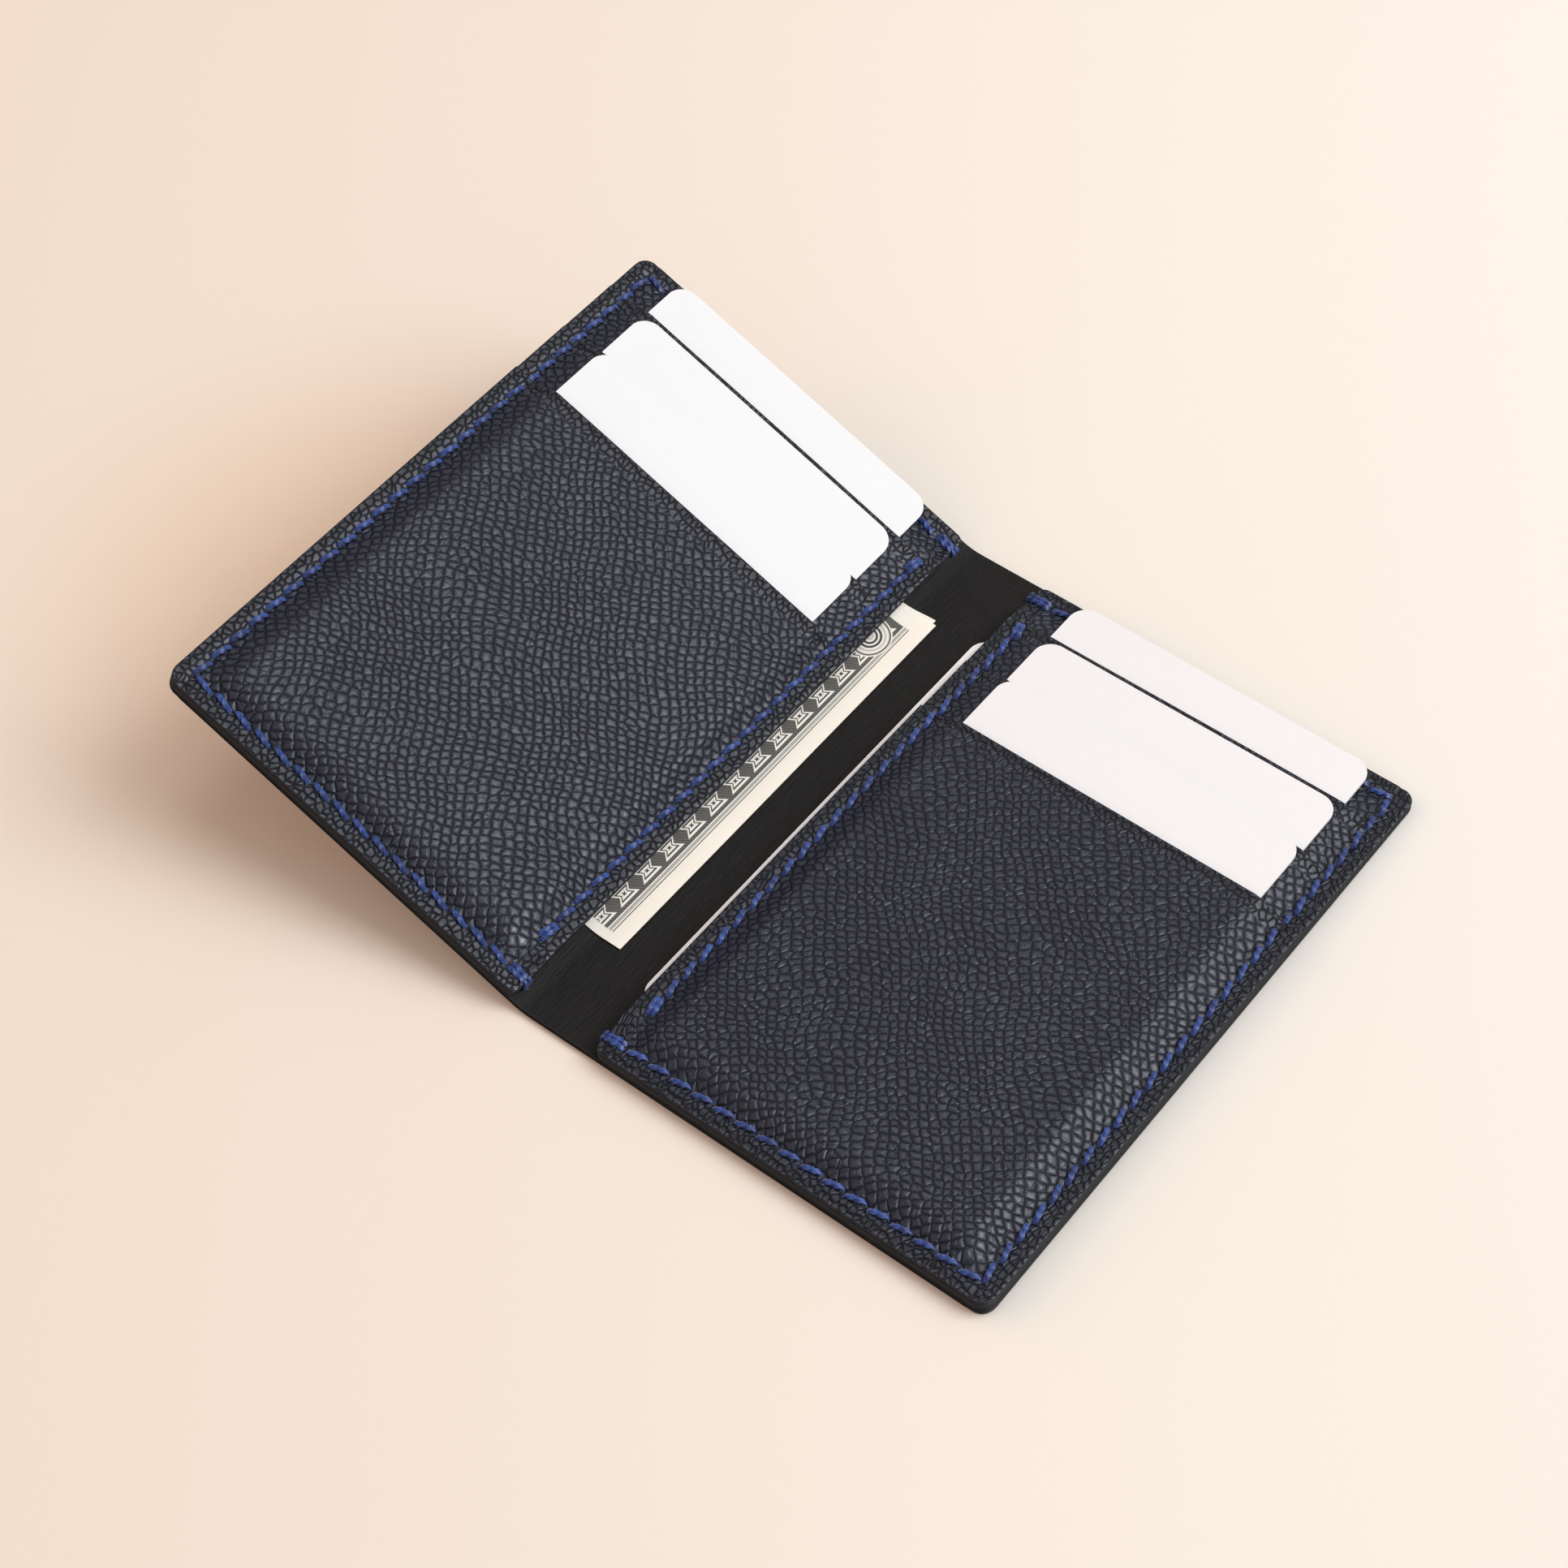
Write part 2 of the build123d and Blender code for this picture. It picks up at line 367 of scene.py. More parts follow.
class Value:
    """A number that varies over a surface. Python operators add the Math nodes."""

    def __init__(self, graph: "Graph", socket: bpy.types.NodeSocket) -> None:
        """Wrap an output socket of a graph."""
        self.graph = graph
        self.socket = socket

    def _math(self, operation: str, *others: "Value | float", swap: bool = False) -> "Value":
        """Add one Math node.

        Args:
            operation: what it does.
            others: the further terms.
            swap: whether this value comes last.

        Returns:
            The result.
        """
        terms = list(others) + [self] if swap else [self, *others]
        node = self.graph.node("ShaderNodeMath", {"operation": operation}, dict(enumerate(terms)))
        return Value(self.graph, node.outputs[0])

    def __add__(self, other: "Value | float") -> "Value":
        """Sum."""
        return self._math("ADD", other)

    __radd__ = __add__

    def __sub__(self, other: "Value | float") -> "Value":
        """Difference."""
        return self._math("SUBTRACT", other)

    def __rsub__(self, other: float) -> "Value":
        """Difference from a number."""
        return self._math("SUBTRACT", other, swap=True)

    def __mul__(self, other: "Value | float") -> "Value":
        """Product."""
        return self._math("MULTIPLY", other)

    __rmul__ = __mul__

    def __truediv__(self, other: "Value | float") -> "Value":
        """Quotient."""
        return self._math("DIVIDE", other)

    def __pow__(self, other: float) -> "Value":
        """Power."""
        return self._math("POWER", other)

    def __abs__(self) -> "Value":
        """Size without its sign."""
        return self._math("ABSOLUTE")

    def rest(self) -> "Value":
        """What is left over a whole number."""
        return self._math("FRACT")

    def lowest(self, other: "Value | float") -> "Value":
        """The smaller of two values."""
        return self._math("MINIMUM", other)

    def highest(self, other: "Value | float") -> "Value":
        """The larger of two values."""
        return self._math("MAXIMUM", other)

    def ease(self, low: float, high: float) -> "Value":
        """Rise smoothly from 0 at low to 1 at high."""
        node = self.graph.node("ShaderNodeMapRange", {"interpolation_type": "SMOOTHSTEP"},
                               {"Value": self, "From Min": low, "From Max": high})
        return Value(self.graph, node.outputs["Result"])

    def between(self, low: float, high: float, soft: float = 0.08) -> "Value":
        """1 between two places and 0 outside them, with soft ends."""
        return self.ease(low, low + soft) * (1.0 - self.ease(high, high + soft))

    def toward(self, other: "Value", share: "Value") -> "Value":
        """Go from this value towards another one by a share from 0 to 1."""
        return self + share * (other - self)

    def stripes(self, count: float, low: float, high: float) -> "Value":
        """Turn a distance into soft lines.

        Args:
            count: lines to one unit of distance.
            low: share of a line's room where it starts.
            high: share of its room where it is full.

        Returns:
            1 on the lines and 0 between them.
        """
        return (self * count).rest().ease(low, high)


class Graph:
    """One material's nodes."""

    def __init__(self, name: str) -> None:
        """Start an empty material with a Principled shader."""
        self.material = bpy.data.materials.new(name)
        self.material.use_nodes = True
        self.tree = self.material.node_tree
        self.tree.nodes.clear()
        self.shader = self.node("ShaderNodeBsdfPrincipled", {}, {})
        output = self.node("ShaderNodeOutputMaterial", {}, {})
        self.tree.links.new(self.shader.outputs["BSDF"], output.inputs["Surface"])

    def node(self, kind: str, settings: dict, values: dict) -> bpy.types.Node:
        """Add a node.

        Args:
            kind: the node's type.
            settings: its own settings, which are made first.
            values: sockets by name or number, each with a value or something to link.

        Returns:
            The new node.
        """
        made = self.tree.nodes.new(kind)
        for key, setting in settings.items():
            setattr(made, key, setting)
        for key, value in values.items():
            self.feed(made.inputs[key], value)
        return made

    def feed(self, socket: bpy.types.NodeSocket, value: object) -> None:
        """Link a socket to a value or set it.

        Args:
            socket: the input.
            value: a value, an output, a colour or a plain number or vector.
        """
        if isinstance(value, Value):
            self.tree.links.new(value.socket, socket)
        elif isinstance(value, bpy.types.NodeSocket):
            self.tree.links.new(value, socket)
        elif isinstance(value, tuple) and len(value) == 3 and socket.type == "RGBA":
            socket.default_value = (*value, 1.0)
        else:
            socket.default_value = value

    def finish(self, **sockets: object) -> bpy.types.Material:
        """Feed the shader.

        Args:
            sockets: its inputs by name, with underscores for spaces.

        Returns:
            The finished material.
        """
        for name, value in sockets.items():
            self.feed(self.shader.inputs[name.replace("_", " ")], value)
        return self.material

    def flat_place(self) -> bpy.types.NodeSocket:
        """Place on the flat leather, in centimetres."""
        return self.node("ShaderNodeUVMap", {"uv_map": PATTERN}, {}).outputs["UV"]

    def solid_place(self) -> bpy.types.NodeSocket:
        """Place in the object, in metres."""
        return self.node("ShaderNodeTexCoord", {}, {}).outputs["Object"]

    def parts(self, vector: bpy.types.NodeSocket) -> tuple[Value, Value, Value]:
        """Split a vector into its three numbers."""
        split = self.node("ShaderNodeSeparateXYZ", {}, {0: vector})
        return tuple(Value(self, split.outputs[axis]) for axis in range(3))

    def joined(self, x: object, y: object, z: object = 0.0) -> bpy.types.NodeSocket:
        """Make a vector of three numbers."""
        return self.node("ShaderNodeCombineXYZ", {}, {0: x, 1: y, 2: z}).outputs[0]

    def turned(self, vector: bpy.types.NodeSocket, degrees: float,
               scale: tuple[float, float, float] = (1.0, 1.0, 1.0)) -> bpy.types.NodeSocket:
        """Turn a pattern about the upright axis and scale it.

        Args:
            vector: the place that the pattern is laid on.
            degrees: the turn.
            scale: how much closer together the pattern is along each axis.

        Returns:
            The new place.
        """
        values = {"Vector": vector, "Rotation": (0.0, 0.0, math.radians(degrees)), "Scale": scale}
        return self.node("ShaderNodeMapping", {"vector_type": "POINT"}, values).outputs[0]

    def cloud(self, vector: bpy.types.NodeSocket, scale: float, detail: float = 2.0,
              roughness: float = 0.5) -> Value:
        """Add soft noise.

        Args:
            vector: the place.
            scale: its fineness.
            detail: how many finer layers it has.
            roughness: how strong these are.

        Returns:
            The noise, from 0 to 1.
        """
        made = self.node("ShaderNodeTexNoise", {}, {"Vector": vector, "Scale": scale, "Detail": detail,
                                                    "Roughness": roughness})
        return Value(self, made.outputs["Fac"])

    def attribute(self, name: str) -> Value:
        """Read a number stored on the mesh."""
        made = self.node("ShaderNodeAttribute", {"attribute_name": name, "attribute_type": "GEOMETRY"}, {})
        return Value(self, made.outputs["Fac"])

    def cells(self, vector: bpy.types.NodeSocket, scale: float, uneven: float) -> Value:
        """Lay a flat net of cells.

        Args:
            vector: the place.
            scale: cells to one unit.
            uneven: how far they stray from a square net, from 0 to 1.

        Returns:
            Distance to the nearest border between cells.
        """
        made = self.node("ShaderNodeTexVoronoi", {"feature": "DISTANCE_TO_EDGE", "voronoi_dimensions": "2D"},
                         {"Vector": vector, "Scale": scale, "Randomness": uneven})
        return Value(self, made.outputs["Distance"])

    def tint(self, factor: Value, low: Colour | bpy.types.NodeSocket,
             high: Colour | bpy.types.NodeSocket) -> bpy.types.NodeSocket:
        """Mix two colours.

        Args:
            factor: 0 for the first one, 1 for the second one.
            low: the first colour.
            high: the second colour.

        Returns:
            The mix.
        """
        colour_inputs = {6: low, 7: high}
        mix = self.node("ShaderNodeMix", {"data_type": "RGBA"}, {"Factor": factor, **colour_inputs})
        return mix.outputs[2]

    def relief(self, height: Value, depth: float) -> bpy.types.NodeSocket:
        """Turn a height from 0 to 1 into a bump of that depth in metres."""
        values = {"Height": height, "Distance": depth, "Strength": 1.0}
        return self.node("ShaderNodeBump", {}, values).outputs[0]


# ---------------------------------------------------------------- finishes


def darker(colour: Colour, share: float) -> Colour:
    """A colour with each of its numbers scaled down."""
    return tuple(number * share for number in colour)


@dataclass(frozen=True)
class GrainedLeather:
    """Navy leather embossed with rows of small pillows, and crinkled along its cut edges; its colour carries
    painted shade in the grooves, cracks, crinkles and pressed lines, and on one side of each pillow.

    Attributes:
        name: the material's name.
        top: colour of the raised grain.
        groove: colour between the grain, darkened there as painted shade.
        column: width of a column of pillows, in centimetres.
        row: height of one pillow, in centimetres.
        slant: turn of the columns, in degrees.
        uneven: how far the pillows stray from a square net, from 0 to 1.
        cracks: cells of the net of short cracks, to a centimetre.
        crinkles: cells of the crinkled edge, to a centimetre.
        margin: where the crinkles give way to pillows, in millimetres from the cut edge.
        creases: places of the two pressed lines, in millimetres from the cut edge.
        crease_sides: half the width of such a line at its bottom and at its top.
        depth: depth of the grain, in metres.
    """

    name: str = "grained_leather"
    top: Colour = (0.0150, 0.0168, 0.0330)
    groove: Colour = (0.0022, 0.0024, 0.0050)
    column: float = 0.150
    row: float = 0.128
    slant: float = -37.0
    uneven: float = 0.42
    cracks: float = 4.2
    crinkles: float = 10.5
    margin: Point = (2.5, 3.4)
    creases: Point = (0.85, 1.25)
    crease_sides: Point = (0.06, 0.18)
    depth: float = 0.00032

    def make(self) -> bpy.types.Material:
        """Build the material.

        Returns:
            The material.
        """
        g = Graph(self.name)
        flat = g.flat_place()
        gap = g.attribute(EDGE_GAP)
        quick = g.cloud(flat, 4.6, 2.0) - 0.5
        fine = g.cloud(flat, 42.0, 3.0, 0.6) - 0.5
        dome, open_top, tilt = self.pillows(g, flat, quick)
        crack_net = g.cells(g.turned(flat, self.slant + 22.0, (1.0, 0.7, 1.0)), self.cracks, 1.0)
        uncracked = 1.0 - (1.0 - crack_net.ease(0.0, 0.05)) * g.cloud(flat, 1.7, 1.0).ease(0.30, 0.5)
        field_height = dome * (0.92 + 0.16 * tilt) * (0.66 + 0.34 * uncracked)
        # Painted shade: darker near the grooves and cracks, and on the side each pillow leans away.
        field_shade = open_top * (0.80 + 0.20 * uncracked) * (0.90 + 0.20 * tilt)
        crinkle = g.cells(g.turned(flat, 12.0, (1.0, 0.75, 1.0)), self.crinkles, 1.0).ease(0.0, 0.26)
        margin = 1.0 - gap.ease(*self.margin)
        height = field_height.toward(crinkle * 0.85, margin)
        # Painted shade in the crinkles of the margin as well.
        lit = field_shade.toward(crinkle, margin)
        wander = quick * 0.16
        near_line = abs(gap - self.creases[0] - wander).lowest(abs(gap - self.creases[1] - wander))
        crease = 1.0 - near_line.ease(*self.crease_sides)
        relief = height - crease * 0.9 + fine * 0.16
        blotch = g.cloud(flat, 1.1, 3.0) - 0.5
        # Painted shade: the pressed lines are darkened too; blotch is random tone.
        shade = (0.16 + lit * 0.84 - crease * 1.4 + blotch * 0.3).highest(0.0)
        return g.finish(Base_Color=g.tint(shade, self.groove, self.top),
                        Roughness=0.46 - 0.08 * height + fine * 0.12,
                        Normal=g.relief(relief, self.depth), Specular_IOR_Level=0.38,
                        Specular_Tint=(0.82, 0.89, 1.0), Coat_Weight=height * height * 0.95,
                        Coat_Roughness=0.38, Coat_IOR=1.5)

    def pillows(self, g: Graph, flat: bpy.types.NodeSocket, quick: Value) -> tuple[Value, Value, Value]:
        """Lay the pillows in wavy columns.

        Args:
            g: the material's nodes.
            flat: place on the flat leather.
            quick: small unevenness.

        Returns:
            Their domed height, where they stand clear of the grooves (the mask of the painted groove shade),
            and how each one leans.
        """
        across, along, _ = g.parts(g.turned(flat, self.slant))
        slow_across = g.cloud(flat, 0.45, 1.0) - 0.5
        slow_along = g.cloud(g.turned(flat, 70.0), 0.5, 1.0) - 0.5
        across = (across + slow_across * 0.55 + quick * 0.060) / self.column
        along = (along + slow_along * 0.55 - quick * 0.075) / self.row
        grid = g.joined(across, along)
        height = g.cells(grid, 1.0, self.uneven)
        nearest = g.node("ShaderNodeTexVoronoi", {"feature": "F1", "voronoi_dimensions": "2D"},
                         {"Vector": grid, "Scale": 1.0, "Randomness": self.uneven})
        middle_x, middle_y, _ = g.parts(nearest.outputs["Position"])
        lean_x, lean_y, _ = g.parts(nearest.outputs["Color"])
        lean = (across - middle_x) * (lean_x - 0.5) + (along - middle_y) * (lean_y - 0.5)
        return height.ease(0.0, 0.40) ** 0.6, height.ease(0.0, 0.16), lean * 3.0


@dataclass(frozen=True)
class EdgePaint:
    """Black paint on the cut edges of the leather, worn grey in places."""

    name: str = "edge_paint"
    colour: Colour = (0.014, 0.014, 0.016)
    worn: Colour = (0.045, 0.043, 0.042)
    depth: float = 0.00004

    def make(self) -> bpy.types.Material:
        """Build the material.

        Returns:
            The material.
        """
        g = Graph(self.name)
        place = g.solid_place()
        wear = g.cloud(place, 900.0, 3.0)
        return g.finish(Base_Color=g.tint(wear.ease(0.62, 0.8), self.colour, self.worn),
                        Roughness=0.40 + 0.25 * wear, Specular_IOR_Level=0.25,
                        Normal=g.relief(g.cloud(place, 1500.0, 2.0), self.depth))


@dataclass(frozen=True)
class SmoothLining:
    """Thin smooth black leather with fine wrinkles along the spine, its colour lighter on the wrinkles'
    raised lines as painted light.
    """

    name: str = "smooth_lining"
    low: Colour = (0.0034, 0.0032, 0.0030)
    high: Colour = (0.010, 0.0092, 0.0082)
    depth: float = 0.00020

    def make(self) -> bpy.types.Material:
        """Build the material.

        Returns:
            The material.
        """
        g = Graph(self.name)
        flat = g.flat_place()
        long_marks = g.cloud(g.turned(flat, 4.0, (11.0, 1.3, 1.0)), 2.2, 4.0, 0.65)
        fine = g.cloud(g.turned(flat, -3.0, (5.0, 1.0, 1.0)), 14.0, 3.0, 0.6)
        height = long_marks * 0.7 + fine * 0.3
        # Painted light: the colour follows the wrinkles' height, lighter on their raised lines.
        return g.finish(Base_Color=g.tint(long_marks.ease(0.3, 0.8), self.low, self.high),
                        Roughness=0.46 + 0.2 * fine, Normal=g.relief(height, self.depth),
                        Specular_IOR_Level=0.22)


@dataclass(frozen=True)
class WaxedThread:
    """Royal blue waxed thread, laid of three plies, lighter where its strands stand up as painted highlight,
    and varied at random.
    """

    name: str = "waxed_thread"
    dark: Colour = (0.010, 0.026, 0.13)
    light: Colour = (0.034, 0.094, 0.40)
    depth: float = 0.00006

    def make(self) -> bpy.types.Material:
        """Build the material.

        Returns:
            The material.
        """
        g = Graph(self.name)
        place = g.solid_place()
        strand = g.cloud(place, 2600.0, 2.0)
        slow = g.cloud(place, 180.0, 1.0)
        # Partly painted highlight: lighter where the strand bump is high; the slow noise is random tone.
        return g.finish(Base_Color=g.tint((strand * 0.6 + slow * 0.5).ease(0.3, 0.85), self.dark, self.light),
                        Roughness=0.36 + 0.25 * strand, Normal=g.relief(strand, self.depth),
                        Sheen_Weight=0.25, Sheen_Roughness=0.4)


@dataclass(frozen=True)
class CardStock:
    """Blank white card."""

    name: str = "white_card"
    colour: Colour = (0.855, 0.884, 0.910)
    depth: float = 0.000006

    def make(self) -> bpy.types.Material:
        """Build the material.

        Returns:
            The material.
        """
        g = Graph(self.name)
        place = g.solid_place()
        mottle = g.cloud(place, 420.0, 3.0)
        return g.finish(Base_Color=g.tint(mottle, darker(self.colour, 0.985), self.colour),
                        Roughness=0.42 + 0.08 * mottle, Normal=g.relief(g.cloud(place, 1800.0), self.depth))


@dataclass(frozen=True)
class NotePaper:
    """Cream note paper with a plain engraved border of lines and lozenges.

    Attributes:
        name: the material's name.
        paper: colour of the paper.
        ink: colour of the print.
        rule: place of the single outer line, in millimetres from the note's open edge, like those below.
        threads: first and last place of the fine lines beside it.
        band: first and last place of the dark band.
        band_middle: place of the lozenges' middle.
        lozenge: room for one lozenge along the band.
        lines: where the ruled ground inside the band starts.
        rosette: middle of the corner rosette, inwards and up.
        rosette_radius: its radius.
        ends: lowest and highest place of the print.
        depth: depth of the paper's fibres, in metres.
    """

    name: str = "note_paper"
    paper: Colour = (0.99, 0.96, 0.87)
    ink: Colour = (0.012, 0.013, 0.012)
    rule: float = 2.85
    threads: Point = (3.15, 3.75)
    band: Point = (3.95, 8.2)
    band_middle: float = 6.1
    lozenge: float = 5.3
    lines: float = 8.3
    rosette: Point = (7.2, 69.5)
    rosette_radius: float = 3.9
    ends: Point = (1.6, 74.6)
    depth: float = 0.00003

    def make(self) -> bpy.types.Material:
        """Build the material.

        Returns:
            The material.
        """
        g = Graph(self.name)
        inward, up, _ = g.parts(g.flat_place())
        inward, up = inward * 10.0, up * 10.0
        rule = 1.0 - abs(inward - self.rule).ease(0.05, 0.11)
        threads = inward.stripes(4.6, 0.35, 0.6) * inward.between(*self.threads)
        lines = inward.stripes(3.3, 0.45, 0.7) * inward.ease(self.lines, self.lines + 0.1) * 0.8
        reach = ((up - self.rosette[1]) ** 2.0 + (inward - self.rosette[0]) ** 2.0) ** 0.5
        rosette = reach.stripes(1.35, 0.30, 0.55) * (0.35 + 0.65 * reach.stripes(0.42, 0.4, 0.5))
        inside = 1.0 - reach.ease(self.rosette_radius, self.rosette_radius + 0.15)
        print_ground = threads.highest(self.lozenges(inward, up)).highest(lines)
        printed = (print_ground.toward(rosette, inside) * inward.ease(3.1, 3.2)).highest(rule)
        ends = up.ease(self.ends[0], self.ends[0] + 0.3) * (1.0 - up.ease(self.ends[1], self.ends[1] + 0.2))
        stain = g.cloud(g.flat_place(), 0.6, 3.0)
        fibre = g.cloud(g.flat_place(), 30.0, 3.0)
        paper = g.tint(stain.ease(0.35, 0.75), darker(self.paper, 0.95), self.paper)
        colour = g.tint(printed * ends * (0.92 + 0.08 * fibre), paper, self.ink)
        return g.finish(Base_Color=colour, Roughness=0.75, Normal=g.relief(fibre, self.depth))

    def lozenges(self, inward: Value, up: Value) -> Value:
        """Print a dark band with a row of crossed lozenges left open in it.

        Args:
            inward: distance from the note's open edge.
            up: distance along it.

        Returns:
            1 where there is ink and 0 where there is none.
        """
        turn = (up / self.lozenge).rest() - 0.5
        crossed = [abs(inward - self.band_middle + turn * slope) / 1.95 + abs(turn) * 1.75
                   for slope in (-3.4, 3.4)]
        leaf = crossed[0].lowest(crossed[1])
        fill = (up * 2.6 + inward * 1.9).stripes(1.0, 0.25, 0.5)
        ground = leaf.ease(0.68, 0.74) * (0.84 + 0.16 * fill)
        vein = (1.0 - abs(leaf - 0.42).ease(0.05, 0.10)).highest(1.0 - leaf.ease(0.10, 0.16))
        return ground.highest(vein) * inward.between(*self.band)


@dataclass(frozen=True)
class Table:
    """The plain pale surface the wallet lies on, painted darker and warmer towards the left as light falloff,
    with a painted warm shadow beside the raised wing.

    Attributes:
        name: the material's name.
        left: colour at the left and near end, darker and warmer there as painted light falloff.
        right: colour at the right and far end, where the painted light is brightest.
        turn: where one goes over into the other, in metres along a line to the right and back.
        warm: colour of the warm patch, a painted shadow beside the raised wing.
        painted_shade_place: middle of the patch, in metres.
        painted_shade_reach: its half width and half length, in metres.
    """

    name: str = "table"
    left: Colour = (0.83, 0.765, 0.665)
    right: Colour = (0.875, 0.860, 0.815)
    turn: Point = (-0.20, 0.16)
    warm: Colour = (0.790, 0.650, 0.520)
    painted_shade_place: Point = (-0.080, -0.010)
    painted_shade_reach: Point = (0.075, 0.085)

    def make(self) -> bpy.types.Material:
        """Build the material.

        Returns:
            The material.
        """
        g = Graph(self.name)
        x, y, _ = g.parts(g.solid_place())
        # Painted light falloff: the floor is darker and warmer towards the left and near end.
        plain = g.tint((x * 0.79 + y * 0.61).ease(*self.turn), self.left, self.right)
        # Painted warm shadow beside the raised wing, fading out from its middle.
        away_x = (x - self.painted_shade_place[0]) / self.painted_shade_reach[0]
        away_y = (y - self.painted_shade_place[1]) / self.painted_shade_reach[1]
        away = (away_x ** 2.0 + away_y ** 2.0) ** 0.5
        return g.finish(Base_Color=g.tint(away.ease(0.15, 0.95), self.warm, plain),
                        Roughness=0.85, Specular_IOR_Level=0.05)


class Finishes:
    """Every finish of the wallet, made once."""

    def __init__(self) -> None:
        """Build all the materials."""
        self.leather = GrainedLeather().make()
        self.edge = EdgePaint().make()
        self.lining = SmoothLining().make()
        self.thread = WaxedThread().make()
        self.card = CardStock().make()
        self.note = NotePaper().make()
        self.table = Table().make()


# ---------------------------------------------------------------- mesh helpers


def only(piece: bpy.types.Object) -> None:
    """Select one object and make it active."""
    bpy.ops.object.select_all(action="DESELECT")
    piece.select_set(True)
    bpy.context.view_layer.objects.active = piece


def coordinates(piece: bpy.types.Object) -> Array:
    """Read a mesh's points as an array."""
    points = np.empty(len(piece.data.vertices) * 3)
    piece.data.vertices.foreach_get("co", points)
    return points.reshape(-1, 3)


def set_coordinates(piece: bpy.types.Object, points: Array) -> None:
    """Write an array back as a mesh's points."""
    piece.data.vertices.foreach_set("co", points.ravel())
    piece.data.update()


def new_grid(name: str, columns: int, rows: int) -> tuple[bpy.types.Object, Array, Array]:
    """Start a sheet as a flat grid.

    Args:
        name: the sheet's name.
        columns: how many lines of points it has outwards.
        rows: how many it has from the bottom up.

    Returns:
        The object, and the number of each point's column and of its row.
    """
    bpy.ops.object.select_all(action="DESELECT")
    bpy.ops.mesh.primitive_grid_add(x_subdivisions=columns - 1, y_subdivisions=rows - 1, size=2.0)
    piece = bpy.context.active_object
    piece.name = piece.data.name = name
    start = coordinates(piece)
    column = np.rint((start[:, 0] + 1) / 2 * (columns - 1)).astype(int)
    row = np.rint((start[:, 1] + 1) / 2 * (rows - 1)).astype(int)
    return piece, column, row


def lay_pattern(piece: bpy.types.Object, outwards: Array, up: Array) -> None:
    """Store each point's place on the flat material, in centimetres, for the finishes.

    Args:
        piece: the sheet.
        outwards: each point's first measure, in millimetres.
        up: each point's second measure, in millimetres.
    """
    layer = piece.data.uv_layers[0]
    layer.name = PATTERN
    corner = np.empty(len(piece.data.loops), dtype=int)
    piece.data.loops.foreach_get("vertex_index", corner)
    places = np.stack([outwards[corner], up[corner]], axis=1) * CM_PER_MM
    layer.data.foreach_set("uv", places.ravel())


def thicken(piece: bpy.types.Object, thickness: float, offset: float, rim: int = 0) -> None:
    """Turn a sheet into a closed solid.

    Args:
        piece: the sheet.
        thickness: its thickness.
        offset: -1 to grow below the sheet, 1 to grow above it and 0 to grow both ways.
        rim: how many finishes further down the list the sides take theirs.
    """
    only(piece)
    shell = piece.modifiers.new("thickness", "SOLIDIFY")
    shell.thickness, shell.offset = thickness, offset
    shell.material_offset_rim = rim
    bpy.ops.object.modifier_apply(modifier=shell.name)


def lay_in_place(piece: bpy.types.Object, space: WingSpace) -> None:
    """Move a sheet from flat millimetres to where it lies in the wallet."""
    flat = coordinates(piece)
    set_coordinates(piece, space.place(flat[:, 0], flat[:, 1], flat[:, 2]))


def tidy_normals(piece: bpy.types.Object, angle: float = 40.0) -> None:
    """Point all faces outwards and shade the piece smooth.

    Args:
        piece: the object.
        angle: faces that meet at more degrees than this keep a crisp edge.
    """
    only(piece)
    bpy.ops.object.mode_set(mode="EDIT")
    bpy.ops.mesh.select_all(action="SELECT")
    bpy.ops.mesh.normals_make_consistent(inside=False)
    bpy.ops.object.mode_set(mode="OBJECT")
    bpy.ops.object.shade_smooth_by_angle(angle=math.radians(angle))


def settle(piece: bpy.types.Object) -> None:
    """Apply an object's place, turn and size to its mesh."""
    only(piece)
    bpy.ops.object.transform_apply(location=True, rotation=True, scale=True)


# ---------------------------------------------------------------- leather sheets

HeightOf = Callable[[Array, Array], Array]


